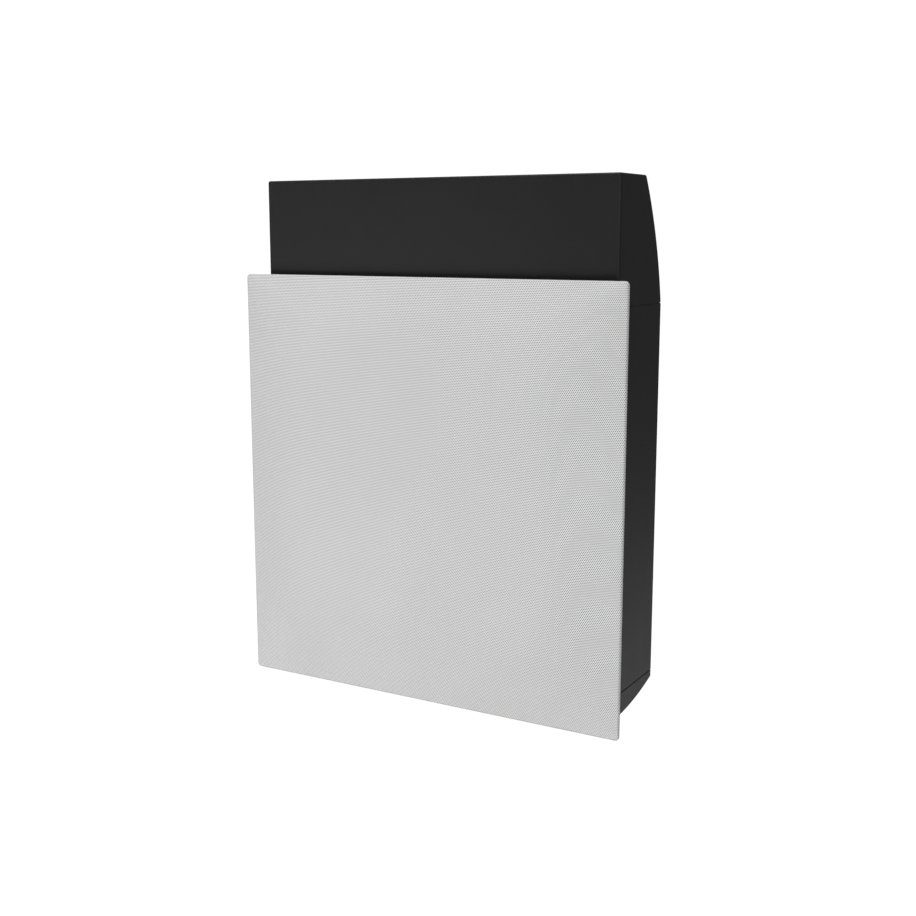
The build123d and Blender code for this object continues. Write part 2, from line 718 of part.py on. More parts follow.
with BuildPart() as woofer_cone:
    with BuildSketch(W_PLANE):
        with BuildLine():
            back_in = CONE_IN + (CONE_T - 0.8) / CONE_SLOPE
            Polyline(
                (72.8, SHOULDER),
                (CONE_IN, SHOULDER),
                (FORMER_R, NECK_Y),
                (FORMER_R, NECK_Y + 3.0),
                (FORMER_R + 0.8, NECK_Y + 3.0),
                (FORMER_R + 0.8, cone_y(FORMER_R + 0.8) + CONE_T),
                (back_in, SHOULDER + 0.8),
                (72.8, SHOULDER + 0.8),
                close=True,
            )
        make_face()
    revolve(axis=W_AXIS)
woofer_cone.part.label = "woofer_cone"
export_step(woofer_cone.part, "parts/woofer_cone.step")

# Dust cap glued to the front of the cone.
cap_apex = 26.0
with BuildPart() as woofer_dust_cap:
    with BuildSketch(W_PLANE):
        with BuildLine():
            ThreePointArc(
                (0, cap_apex),
                dome_mid(cap_apex, 33.0, cone_y(33.0)),
                (33.0, cone_y(33.0)),
            )
            Line((33.0, cone_y(33.0)), (31.6, cone_y(31.6)))
            ThreePointArc(
                (31.6, cone_y(31.6)),
                dome_mid(cap_apex + 0.7, 31.6, cone_y(31.6)),
                (0, cap_apex + 0.7),
            )
            Line((0, cap_apex + 0.7), (0, cap_apex))
        make_face()
    revolve(axis=W_AXIS)
woofer_dust_cap.part.label = "woofer_dust_cap"
export_step(woofer_dust_cap.part, "parts/woofer_dust_cap.step")

with BuildPart() as woofer_former:
    with BuildSketch(at(66.0)):
        with Locations((0, WZ)):
            Circle(FORMER_R)
            Circle(FORMER_R - 0.4, mode=Mode.SUBTRACT)
    extrude(amount=66.0 - (NECK_Y - 1.0))
woofer_former.part.label = "woofer_former"
export_step(woofer_former.part, "parts/woofer_former.step")

with BuildPart() as woofer_coil:
    with BuildSketch(at(65.0)):
        with Locations((0, WZ)):
            Circle(FORMER_R + 1.0)
            Circle(FORMER_R, mode=Mode.SUBTRACT)
    extrude(amount=13.0)
woofer_coil.part.label = "woofer_coil"
export_step(woofer_coil.part, "parts/woofer_coil.step")

# Corrugated spider, from the former to the landing in the basket.
SPIDER_T = 0.5
SPIDER_BACK = 45.0
waves, wave_in, wave_out = 8, 21.5, 46.0
step = (wave_out - wave_in) / waves
with BuildPart() as woofer_spider:
    with BuildSketch(W_PLANE):
        with BuildLine():
            for k in range(waves):
                r0 = wave_in + k * step
                bump = 1.2 if k % 2 else -1.2
                for face_y in (SPIDER_BACK - SPIDER_T, SPIDER_BACK):
                    ThreePointArc(
                        (r0, face_y),
                        (r0 + step / 2, face_y + bump),
                        (r0 + step, face_y),
                    )
            Polyline(
                (wave_in, SPIDER_BACK - SPIDER_T),
                (FORMER_R + 0.6, SPIDER_BACK - SPIDER_T),
                (FORMER_R + 0.6, NECK_Y + 3.2),
                (FORMER_R, NECK_Y + 3.2),
                (FORMER_R, SPIDER_BACK),
                (wave_in, SPIDER_BACK),
            )
            Polyline(
                (wave_out, SPIDER_BACK - SPIDER_T),
                (53.0, SPIDER_BACK - SPIDER_T),
                (53.0, SPIDER_BACK),
                (wave_out, SPIDER_BACK),
            )
        make_face()
    revolve(axis=W_AXIS)
woofer_spider.part.label = "woofer_spider"
export_step(woofer_spider.part, "parts/woofer_spider.step")

# Motor: top plate, ring magnet, yoke with a vented pole.
with BuildPart() as woofer_top_plate:
    with BuildSketch(at(PLATE_Y + 6.0)):
        with Locations((0, WZ)):
            Circle(45.0)
            Circle(20.6, mode=Mode.SUBTRACT)
    extrude(amount=6.0)
    chamfer(woofer_top_plate.edges().group_by(Axis.Y)[0].sort_by(SortBy.RADIUS)[-1], 0.8)
woofer_top_plate.part.label = "woofer_top_plate"
export_step(woofer_top_plate.part, "parts/woofer_top_plate.step")

with BuildPart() as woofer_magnet:
    with BuildSketch(at(PLATE_Y + 20.0)):
        with Locations((0, WZ)):
            Circle(48.0)
            Circle(24.5, mode=Mode.SUBTRACT)
    extrude(amount=14.0)
    chamfer(woofer_magnet.edges().group_by(Axis.Y)[-1].sort_by(SortBy.RADIUS)[-1], 1.0)
woofer_magnet.part.label = "woofer_magnet"
export_step(woofer_magnet.part, "parts/woofer_magnet.step")

with BuildPart() as woofer_yoke:
    with BuildSketch(W_PLANE):
        with BuildLine():
            Polyline(
                (6.0, PLATE_Y),
                (18.0, PLATE_Y),
                (18.0, PLATE_Y + 20.0),
                (46.0, PLATE_Y + 20.0),
                (46.0, PLATE_Y + 23.0),
                (43.5, PLATE_Y + 25.0),
                (10.0, PLATE_Y + 25.0),
                (6.0, PLATE_Y + 20.0),
                close=True,
            )
        make_face()
    revolve(axis=W_AXIS)
woofer_yoke.part.label = "woofer_yoke"
export_step(woofer_yoke.part, "parts/woofer_yoke.step")

# Fibre strip on the basket, its two solder tags and the flexible leads.
STRIP_Y = 47.5
with BuildPart() as woofer_terminal_strip:
    with BuildSketch(at(STRIP_Y + 1.6)):
        with Locations((59.5, WZ)):
            RectangleRounded(19.0, 24.0, 2.0)
    extrude(amount=1.6)
woofer_terminal_strip.part.label = "woofer_terminal_strip"
export_step(woofer_terminal_strip.part, "parts/woofer_terminal_strip.step")

with BuildPart() as woofer_tags:
    with BuildSketch(at(STRIP_Y + 2.4)):
        with Locations((66.0, WZ - 6.0), (66.0, WZ + 6.0)):
            RectangleRounded(14.0, 5.0, 1.0)
    extrude(amount=0.8)
woofer_tags.part.label = "woofer_tags"
export_step(woofer_tags.part, "parts/woofer_tags.step")

with BuildPart() as woofer_leads:
    for lead_z in (WZ - 6.0, WZ + 6.0):
        with BuildLine() as lead:
            FilletPolyline(
                (64.0, STRIP_Y, lead_z),
                (64.0, 38.0, lead_z),
                (48.0, 35.5, lead_z),
                (44.0, cone_y(44.5) + CONE_T + 0.5, lead_z),
                radius=[5.0, 3.0],
            )
        with BuildSketch(Plane(lead.line @ 0, z_dir=lead.line % 0)):
            Circle(0.7)
        sweep()
woofer_leads.part.label = "woofer_leads"
export_step(woofer_leads.part, "parts/woofer_leads.step")

# ------------------------------------------------------------------- tweeter
T_PLANE = Plane.XY.offset(TZ)
T_AXIS = Axis((0, 0, TZ), (0, 1, 0))
TB = Y0 + DRIVER_PLATE  # back of the faceplate
with BuildPart() as tweeter_faceplate:
    with BuildSketch(T_PLANE):
        with BuildLine():
            Polyline(
                (16.6, TB - 1.2),
                (16.6, TB),
                (20.5, TB),
                (20.5, TB + 0.6),
                (30.0, TB + 0.6),
                (30.0, TB),
                (TWEETER_R, TB),
                (TWEETER_R, Y0 + 0.6),
                (TWEETER_R - 0.6, Y0),
                (26.0, Y0),
            )
            ThreePointArc((26.0, Y0), (20.0, Y0 + 0.9), (16.6, TB - 1.2))
        make_face()
    revolve(axis=T_AXIS)
    with BuildSketch(at(Y0)):
        with Locations(*TWEETER_SCREW_AT):
            Circle(1.8)
    extrude(amount=-DRIVER_PLATE, mode=Mode.SUBTRACT)
tweeter_faceplate.part.label = "tweeter_faceplate"
export_step(tweeter_faceplate.part, "parts/tweeter_faceplate.step")

with BuildPart() as tweeter_seal:
    with BuildSketch(at(Y0 + REBATE)):
        with Locations((0, TZ)):
            Circle(TWEETER_R)
            Circle(TWEETER_HOLE_R + 0.5, mode=Mode.SUBTRACT)
        with Locations(*TWEETER_SCREW_AT):
            Circle(1.8, mode=Mode.SUBTRACT)
    extrude(amount=DRIVER_SEAL)
tweeter_seal.part.label = "tweeter_seal"
export_step(tweeter_seal.part, "parts/tweeter_seal.step")

with BuildPart() as tweeter_screws:
    with BuildSketch(at(Y0)):
        with Locations(*TWEETER_SCREW_AT):
            Circle(3.0)
    extrude(amount=2.2)
    fillet(tweeter_screws.edges().group_by(Axis.Y)[0], radius=0.5)
    with BuildSketch(at(Y0 - 2.2)):
        with Locations(*TWEETER_SCREW_AT):
            RegularPolygon(1.5, 6)
    extrude(amount=-1.5, mode=Mode.SUBTRACT)
    with BuildSketch(at(Y0)):
        with Locations(*TWEETER_SCREW_AT):
            Circle(1.6)
    extrude(amount=-10.6)
tweeter_screws.part.label = "tweeter_screws"
export_step(tweeter_screws.part, "parts/tweeter_screws.step")

DOME_R = 12.65
with BuildPart() as tweeter_surround:
    with BuildSketch(T_PLANE):
        with BuildLine():
            Polyline(
                (16.1, TB + 0.4),
                (16.1, TB + 0.6),
                (20.3, TB + 0.6),
                (20.3, TB),
                (16.4, TB),
            )
            ThreePointArc((16.4, TB), (14.65, TB - 1.7), (12.95, TB))
            Polyline((12.95, TB), (DOME_R, TB), (DOME_R, TB + 0.4), (13.25, TB + 0.4))
            ThreePointArc((13.25, TB + 0.4), (14.65, TB - 1.3), (16.1, TB + 0.4))
        make_face()
    revolve(axis=T_AXIS)
tweeter_surround.part.label = "tweeter_surround"
export_step(tweeter_surround.part, "parts/tweeter_surround.step")

dome_apex = Y0 - 0.8
with BuildPart() as tweeter_dome:
    with BuildSketch(T_PLANE):
        with BuildLine():
            ThreePointArc(
                (0, dome_apex), dome_mid(dome_apex, DOME_R, TB), (DOME_R, TB)
            )
            Polyline((DOME_R, TB), (DOME_R, TB + 0.4), (DOME_R - 0.35, TB + 0.4))
            ThreePointArc(
                (DOME_R - 0.35, TB + 0.4),
                dome_mid(dome_apex + 0.35, DOME_R - 0.35, TB + 0.4),
                (0, dome_apex + 0.35),
            )
            Line((0, dome_apex + 0.35), (0, dome_apex))
        make_face()
    revolve(axis=T_AXIS)
tweeter_dome.part.label = "tweeter_dome"
export_step(tweeter_dome.part, "parts/tweeter_dome.step")

# Coil wound on a short sleeve bonded to the dome.
with BuildPart() as tweeter_coil:
    with BuildSketch(T_PLANE):
        with BuildLine():
            Polyline(
                (DOME_R - 0.35, TB + 0.4),
                (DOME_R, TB + 0.4),
                (DOME_R, TB + 2.2),
                (DOME_R + 0.4, TB + 2.2),
                (DOME_R + 0.4, TB + 5.2),
                (DOME_R - 0.35, TB + 5.2),
                close=True,
            )
        make_face()
    revolve(axis=T_AXIS)
tweeter_coil.part.label = "tweeter_coil"
export_step(tweeter_coil.part, "parts/tweeter_coil.step")

T_PLATE = TB + 0.6
with BuildPart() as tweeter_top_plate:
    with BuildSketch(at(T_PLATE + 3.0)):
        with Locations((0, TZ)):
            Circle(30.0)
            Circle(13.6, mode=Mode.SUBTRACT)
    extrude(amount=3.0)
tweeter_top_plate.part.label = "tweeter_top_plate"
export_step(tweeter_top_plate.part, "parts/tweeter_top_plate.step")

with BuildPart() as tweeter_magnet:
    with BuildSketch(at(T_PLATE + 11.0)):
        with Locations((0, TZ)):
            Circle(31.0)
            Circle(17.0, mode=Mode.SUBTRACT)
    extrude(amount=8.0)
tweeter_magnet.part.label = "tweeter_magnet"
export_step(tweeter_magnet.part, "parts/tweeter_magnet.step")

with BuildPart() as tweeter_yoke:
    with BuildSketch(T_PLANE):
        with BuildLine():
            Polyline(
                (0, T_PLATE + 0.5),
                (11.75, T_PLATE + 0.5),
                (11.75, T_PLATE + 11.0),
                (29.5, T_PLATE + 11.0),
                (29.5, T_PLATE + 13.0),
                (28.5, T_PLATE + 14.0),
                (0, T_PLATE + 14.0),
                close=True,
            )
        make_face()
    revolve(axis=T_AXIS)
tweeter_yoke.part.label = "tweeter_yoke"
export_step(tweeter_yoke.part, "parts/tweeter_yoke.step")

# Terminal block on the back of the tweeter.
T_TAG_Y = T_PLATE + 14.0 + 2.6
with BuildPart() as tweeter_terminals:
    with BuildSketch(at(T_PLATE + 15.6)):
        with Locations((0, TZ)):
            RectangleRounded(30.0, 12.0, 2.0)
    extrude(amount=1.6)
    with BuildSketch(at(T_TAG_Y)):
        with Locations((-8.0, TZ), (8.0, TZ)):
            RectangleRounded(5.0, 8.0, 1.0)
    extrude(amount=1.0)
tweeter_terminals.part.label = "tweeter_terminals"
export_step(tweeter_terminals.part, "parts/tweeter_terminals.step")

# ----------------------------------------------------------------- crossover
with BuildPart() as crossover_board:
    with BuildSketch(at(BOARD_FRONT + BOARD_T)):
        with Locations(BOARD_AT):
            RectangleRounded(120.0, 72.0, 3.0)
        with Locations(*BOARD_HOLE_AT):
            Circle(1.7, mode=Mode.SUBTRACT)
    extrude(amount=BOARD_T)
crossover_board.part.label = "crossover_board"
export_step(crossover_board.part, "parts/crossover_board.step")

with BuildPart() as crossover_standoffs:
    with BuildSketch(at(BOX_BACK - STEEL)):
        with Locations(*BOARD_HOLE_AT):
            RegularPolygon(3.2, 6)
            Circle(1.5, mode=Mode.SUBTRACT)
    extrude(amount=BOX_BACK - STEEL - BOARD_FRONT - BOARD_T)
crossover_standoffs.part.label = "crossover_standoffs"
export_step(crossover_standoffs.part, "parts/crossover_standoffs.step")

with BuildPart() as crossover_screws:
    with BuildSketch(at(BOARD_FRONT)):
        with Locations(*BOARD_HOLE_AT):
            Circle(2.8)
    extrude(amount=1.8)
    fillet(crossover_screws.edges().group_by(Axis.Y)[0], radius=0.6)
    with BuildSketch(at(BOARD_FRONT)):
        with Locations(*BOARD_HOLE_AT):
            Circle(1.5)
    extrude(amount=-7.0)
crossover_screws.part.label = "crossover_screws"
export_step(crossover_screws.part, "parts/crossover_screws.step")

# Two air-core inductors, wound on the board.
with BuildPart() as crossover_inductors:
    with BuildSketch(at(BOARD_FRONT)):
        with Locations((-25.0, 115.0)):
            Circle(17.0)
            Circle(7.0, mode=Mode.SUBTRACT)
    extrude(amount=18.0)
    with BuildSketch(at(BOARD_FRONT)):
        with Locations((25.0, 107.0)):
            Circle(12.5)
            Circle(5.5, mode=Mode.SUBTRACT)
    extrude(amount=14.0)
    fillet(crossover_inductors.edges().filter_by(GeomType.CIRCLE), radius=1.2)
crossover_inductors.part.label = "crossover_inductors"
export_step(crossover_inductors.part, "parts/crossover_inductors.step")

# Film capacitors lying on the board, each with two bent wire legs.
CAPS = [(-20.0, 89.0, 6.5, 34.0), (28.0, 129.0, 6.5, 34.0), (22.0, 86.5, 4.2, 24.0)]
with BuildPart() as crossover_capacitors:
    for cx, cz, cr, cl in CAPS:
        lift = BOARD_FRONT - cr - 0.3
        with BuildSketch(Plane.YZ.offset(cx - cl / 2)):
            with Locations((lift, cz)):
                Circle(cr)
        extrude(amount=cl)
    fillet(crossover_capacitors.edges().filter_by(GeomType.CIRCLE), radius=0.8)
    for cx, cz, cr, cl in CAPS:
        lift = BOARD_FRONT - cr - 0.3
        for side in (-1, 1):
            with BuildLine() as leg:
                FilletPolyline(
                    (cx + side * (cl / 2 - 0.5), lift, cz),
                    (cx + side * (cl / 2 + 2.5), lift, cz),
                    (cx + side * (cl / 2 + 2.5), BOARD_FRONT, cz),
                    radius=1.2,
                )
            with BuildSketch(Plane(leg.line @ 0, z_dir=leg.line % 0)):
                Circle(0.45)
            sweep()
crossover_capacitors.part.label = "crossover_capacitors"
export_step(crossover_capacitors.part, "parts/crossover_capacitors.step")

with BuildPart() as crossover_resistor:
    with BuildSketch(at(BOARD_FRONT)):
        with Locations((-2.0, 142.5)):
            RectangleRounded(26.0, 9.0, 0.8)
    extrude(amount=9.0)
crossover_resistor.part.label = "crossover_resistor"
export_step(crossover_resistor.part, "parts/crossover_resistor.step")

# ----------------------------------------------------------------- terminals
# Moulded cup let into the top face, with two sprung push posts.
CUP_TOP = BOX_TOP
with BuildPart() as terminal_cup:
    with BuildSketch(Plane.XY.offset(CUP_TOP - 1.5)):
        with Locations((TERM_X, TERM_Y)):
            RectangleRounded(63.4, 43.4, 3.8)
    extrude(amount=1.5)
    with BuildSketch(Plane.XY.offset(CUP_FLOOR - 2.0)):
        with Locations((TERM_X, TERM_Y)):
            RectangleRounded(53.4, 33.4, 3.0)
    extrude(amount=CUP_TOP - CUP_FLOOR + 2.0)
    with BuildSketch(Plane.XY.offset(CUP_FLOOR)):
        with Locations((TERM_X, TERM_Y)):
            RectangleRounded(49.4, 29.4, 2.0)
    extrude(amount=CUP_TOP - CUP_FLOOR, mode=Mode.SUBTRACT)
    with BuildSketch(Plane.XY.offset(CUP_FLOOR)):
        with Locations(*POST_AT):
            Circle(3.0)
    extrude(amount=-2.0, mode=Mode.SUBTRACT)
    for gx in (-28.8, 28.8):
        for gy in (-18.8, 18.8):
            with BuildSketch(Plane.XZ.offset(-(TERM_Y + gy))):
                with BuildLine():
                    Polyline(
                        (TERM_X + gx, CUP_TOP),
                        (TERM_X + gx + 2.4, CUP_TOP),
                        (TERM_X + gx + 1.5, CUP_TOP - 1.2),
                        (TERM_X + gx + 1.5, CUP_TOP - 1.5),
                        (TERM_X + gx, CUP_TOP - 1.5),
                        close=True,
                    )
                make_face()
            revolve(
                axis=Axis((TERM_X + gx, TERM_Y + gy, 0), (0, 0, 1)),
                mode=Mode.SUBTRACT,
            )
terminal_cup.part.label = "terminal_cup"
export_step(terminal_cup.part, "parts/terminal_cup.step")

with BuildPart() as terminal_seal:
    with BuildSketch(Plane.XY.offset(BOX_TOP - 2.0)):
        with Locations((TERM_X, TERM_Y)):
            RectangleRounded(63.0, 43.0, 3.6)
            RectangleRounded(54.2, 34.2, 3.2, mode=Mode.SUBTRACT)
            with GridLocations(57.6, 37.6, 2, 2):
                Circle(1.5, mode=Mode.SUBTRACT)
    extrude(amount=0.5)
terminal_seal.part.label = "terminal_seal"
export_step(terminal_seal.part, "parts/terminal_seal.step")

with BuildPart() as terminal_screws:
    for gx in (-28.8, 28.8):
        for gy in (-18.8, 18.8):
            with BuildSketch(Plane.XZ.offset(-(TERM_Y + gy))):
                with BuildLine():
                    Polyline(
                        (TERM_X + gx, CUP_TOP),
                        (TERM_X + gx + 2.3, CUP_TOP),
                        (TERM_X + gx + 1.4, CUP_TOP - 1.2),
                        (TERM_X + gx + 1.4, CUP_TOP - 5.6),
                        (TERM_X + gx, CUP_TOP - 5.6),
                        close=True,
                    )
                make_face()
            revolve(axis=Axis((TERM_X + gx, TERM_Y + gy, 0), (0, 0, 1)))
    with BuildSketch(Plane.XY.offset(CUP_TOP)):
        with Locations((TERM_X, TERM_Y)):
            with GridLocations(57.6, 37.6, 2, 2):
                Rectangle(2.6, 0.6)
                Rectangle(0.6, 2.6)
    extrude(amount=-0.9, mode=Mode.SUBTRACT)
terminal_screws.part.label = "terminal_screws"
export_step(terminal_screws.part, "parts/terminal_screws.step")

# Brass posts, each with a collar on the cup's floor and a cross hole.
POST_TOP = 275.0
COLLAR = 1.5
HOLE_Z = 264.5
with BuildPart() as terminal_posts:
    with BuildSketch(Plane.XY.offset(250.0)):
        with Locations(*POST_AT):
            Circle(3.0)
    extrude(amount=POST_TOP - 250.0)
    with BuildSketch(Plane.XY.offset(CUP_FLOOR)):
        with Locations(*POST_AT):
            Circle(6.0)
    extrude(amount=COLLAR)
    with BuildSketch(Plane.XZ.offset(-TERM_Y)):
        with Locations(*[(x, HOLE_Z) for x, y in POST_AT]):
            Circle(1.25)
    extrude(amount=10.0, both=True, mode=Mode.SUBTRACT)
terminal_posts.part.label = "terminal_posts"
export_step(terminal_posts.part, "parts/terminal_posts.step")

# Return springs under the caps.
SPRING_LOW, SPRING_HIGH = CUP_FLOOR + COLLAR + 0.5, 270.5
with BuildPart() as terminal_springs:
    for post_x, post_y in POST_AT:
        with BuildLine() as coil_line:
            Helix(
                pitch=(SPRING_HIGH - SPRING_LOW) / 4.5,
                height=SPRING_HIGH - SPRING_LOW,
                radius=4.4,
                center=(post_x, post_y, SPRING_LOW),
            )
        with BuildSketch(Plane(coil_line.line @ 0, z_dir=coil_line.line % 0)):
            Circle(0.42)
        sweep(is_frenet=True)
terminal_springs.part.label = "terminal_springs"
export_step(terminal_springs.part, "parts/terminal_springs.step")


# Push caps over the posts: bored for the post, wider at the foot for the
# spring, with a cross hole that meets the post's hole when pressed.
CAP_LOW, CAP_HIGH = 265.5, 281.0
with BuildPart() as terminal_cap_red:
    with BuildSketch(Plane.XZ.offset(-TERM_Y)):
        with BuildLine():
            cap_x = POST_AT[0][0]
            Polyline(
                (cap_x, CAP_HIGH),
                (cap_x + 7.0, CAP_HIGH),
                (cap_x + 8.0, CAP_HIGH - 1.0),
                (cap_x + 8.0, CAP_LOW + 3.0),
                (cap_x + 7.2, CAP_LOW),
                (cap_x + 5.3, CAP_LOW),
                (cap_x + 5.3, 271.0),
                (cap_x + 3.3, 271.0),
                (cap_x + 3.3, POST_TOP + PUSH + 0.4),
                (cap_x, POST_TOP + PUSH + 0.4),
                close=True,
            )
        make_face()
    revolve(axis=Axis((cap_x, TERM_Y, 0), (0, 0, 1)))
    with BuildSketch(Plane.XZ.offset(-TERM_Y)):
        with Locations((cap_x, HOLE_Z + PUSH)):
            Circle(1.4)
    extrude(amount=10.0, both=True, mode=Mode.SUBTRACT)
terminal_cap_red.part.label = "terminal_cap_red"
export_step(terminal_cap_red.part, "parts/terminal_cap_red.step")

with BuildPart() as terminal_cap_black:
    with BuildSketch(Plane.XZ.offset(-TERM_Y)):
        with BuildLine():
            cap_x = POST_AT[1][0]
            Polyline(
                (cap_x, CAP_HIGH),
                (cap_x + 7.0, CAP_HIGH),
                (cap_x + 8.0, CAP_HIGH - 1.0),
                (cap_x + 8.0, CAP_LOW + 3.0),
                (cap_x + 7.2, CAP_LOW),
                (cap_x + 5.3, CAP_LOW),
                (cap_x + 5.3, 271.0),
                (cap_x + 3.3, 271.0),
                (cap_x + 3.3, POST_TOP + PUSH + 0.4),
                (cap_x, POST_TOP + PUSH + 0.4),
                close=True,
            )
        make_face()
    revolve(axis=Axis((cap_x, TERM_Y, 0), (0, 0, 1)))
    with BuildSketch(Plane.XZ.offset(-TERM_Y)):
        with Locations((cap_x, HOLE_Z + PUSH)):
            Circle(1.4)
    extrude(amount=10.0, both=True, mode=Mode.SUBTRACT)
terminal_cap_black.part.label = "terminal_cap_black"
export_step(terminal_cap_black.part, "parts/terminal_cap_black.step")

# -------------------------------------------------------------------- wiring
# Insulated wires in pairs, from straight runs and tangent arcs.
TAG_Y = STRIP_Y + 2.4
with BuildPart() as input_wires:
    for route, bends in (
        (
            [
                (-108.0, 42.0, 250.0),
                (-108.0, 42.0, 212.0),
                (-86.0, 80.0, 176.0),
                (-52.0, 82.0, 138.0),
                (-52.0, BOARD_FRONT, 138.0),
            ],
            [22.0, 22.0, 7.0],
        ),
        (
            [
                (-82.0, 42.0, 250.0),
                (-82.0, 42.0, 212.0),
                (-66.0, 78.0, 176.0),
                (-44.0, 80.0, 142.0),
                (-44.0, BOARD_FRONT, 142.0),
            ],
            [22.0, 18.0, 7.0],
        ),
    ):
        with BuildLine() as wire:
            FilletPolyline(*route, radius=bends)
        with BuildSketch(Plane(wire.line @ 0, z_dir=wire.line % 0)):
            Circle(WIRE_R)
        sweep()
        print("input wire", round(sum(e.length for e in wire.edges()), 1), "mm, bends", bends)
input_wires.part.label = "input_wires"
export_step(input_wires.part, "parts/input_wires.step")

with BuildPart() as woofer_wires:
    for route, bends in (
        (
            [
                (50.0, BOARD_FRONT, 92.0),
                (50.0, 84.0, 92.0),
                (74.0, 76.0, 30.0),
                (70.0, 70.0, WZ + 6.0),
                (70.0, TAG_Y, WZ + 6.0),
            ],
            [7.0, 30.0, 8.0],
        ),
        (
            [
                (42.0, BOARD_FRONT, 92.0),
                (42.0, 80.0, 92.0),
                (57.0, 71.0, 24.0),
                (62.0, 66.0, WZ - 6.0),
                (62.0, TAG_Y, WZ - 6.0),
            ],
            [8.0, 40.0, 7.0],
        ),
    ):
        with BuildLine() as wire:
            FilletPolyline(*route, radius=bends)
        with BuildSketch(Plane(wire.line @ 0, z_dir=wire.line % 0)):
            Circle(WIRE_R)
        sweep()
        print("woofer wire", round(sum(e.length for e in wire.edges()), 1), "mm, bends", bends)
woofer_wires.part.label = "woofer_wires"
export_step(woofer_wires.part, "parts/woofer_wires.step")

with BuildPart() as tweeter_wires:
    for route, bends in (
        (
            [
                (40.0, BOARD_FRONT, 144.0),
                (40.0, 78.0, 144.0),
                (8.0, 58.0, TZ),
                (8.0, T_TAG_Y, TZ),
            ],
            [12.0, 12.0],
        ),
        (
            [
                (22.0, BOARD_FRONT, 144.0),
                (22.0, 82.0, 144.0),
                (-8.0, 60.0, TZ),
                (-8.0, T_TAG_Y, TZ),
            ],
            [12.0, 12.0],
        ),
    ):
        with BuildLine() as wire:
            FilletPolyline(*route, radius=bends)
        with BuildSketch(Plane(wire.line @ 0, z_dir=wire.line % 0)):
            Circle(WIRE_R)
        sweep()
        print("tweeter wire", round(sum(e.length for e in wire.edges()), 1), "mm, bends", bends)
tweeter_wires.part.label = "tweeter_wires"
export_step(tweeter_wires.part, "parts/tweeter_wires.step")
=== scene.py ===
"""Looks of the in-wall speaker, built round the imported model."""

import math

import bmesh
import bpy
import numpy as np
from mathutils import Matrix, Vector, noise


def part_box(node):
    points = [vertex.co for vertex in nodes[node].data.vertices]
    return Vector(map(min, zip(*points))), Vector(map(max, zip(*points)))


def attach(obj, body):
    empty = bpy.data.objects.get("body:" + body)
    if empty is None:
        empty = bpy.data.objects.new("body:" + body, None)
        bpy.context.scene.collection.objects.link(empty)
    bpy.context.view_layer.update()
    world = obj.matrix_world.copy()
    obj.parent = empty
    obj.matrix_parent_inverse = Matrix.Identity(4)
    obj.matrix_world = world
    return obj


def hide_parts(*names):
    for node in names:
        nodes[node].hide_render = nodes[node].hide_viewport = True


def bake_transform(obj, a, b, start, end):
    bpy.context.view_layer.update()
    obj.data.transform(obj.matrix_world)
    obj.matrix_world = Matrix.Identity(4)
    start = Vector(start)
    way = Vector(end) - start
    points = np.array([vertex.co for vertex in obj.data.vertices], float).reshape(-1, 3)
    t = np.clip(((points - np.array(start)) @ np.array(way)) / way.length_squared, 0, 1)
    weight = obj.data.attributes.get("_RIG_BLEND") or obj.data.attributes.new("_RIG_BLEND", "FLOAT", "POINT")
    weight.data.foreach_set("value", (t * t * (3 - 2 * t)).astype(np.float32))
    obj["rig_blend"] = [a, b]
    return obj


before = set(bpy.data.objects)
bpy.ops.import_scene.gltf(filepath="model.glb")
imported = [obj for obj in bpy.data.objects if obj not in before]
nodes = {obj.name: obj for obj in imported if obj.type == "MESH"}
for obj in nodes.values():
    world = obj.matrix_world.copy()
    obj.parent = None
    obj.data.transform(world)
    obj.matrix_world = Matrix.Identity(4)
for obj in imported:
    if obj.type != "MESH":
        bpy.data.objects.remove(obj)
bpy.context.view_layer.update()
MM = 0.001

# ------------------------------------------------------------ camera and stage
scene = bpy.context.scene
scene.view_settings.view_transform = "Standard"
scene.view_settings.look = "None"
scene.view_settings.exposure = 0.0
scene.view_settings.gamma = 1.0

AZ, EL = math.radians(30.0), math.radians(10.0)
look = Vector(
    (-math.sin(AZ) * math.cos(EL), math.cos(AZ) * math.cos(EL), -math.sin(EL))
)
cam_data = bpy.data.cameras.new("camera")
cam_data.lens = 50.0
cam_data.sensor_width = 36.0
cam_data.sensor_fit = "HORIZONTAL"
cam_data.clip_start = 0.01
cam_data.clip_end = 100.0
camera = bpy.data.objects.new("camera", cam_data)
scene.collection.objects.link(camera)
camera.location = (0.59073, -0.96174, 0.23266)
camera.rotation_euler = look.to_track_quat("-Z", "Y").to_euler()
scene.camera = camera


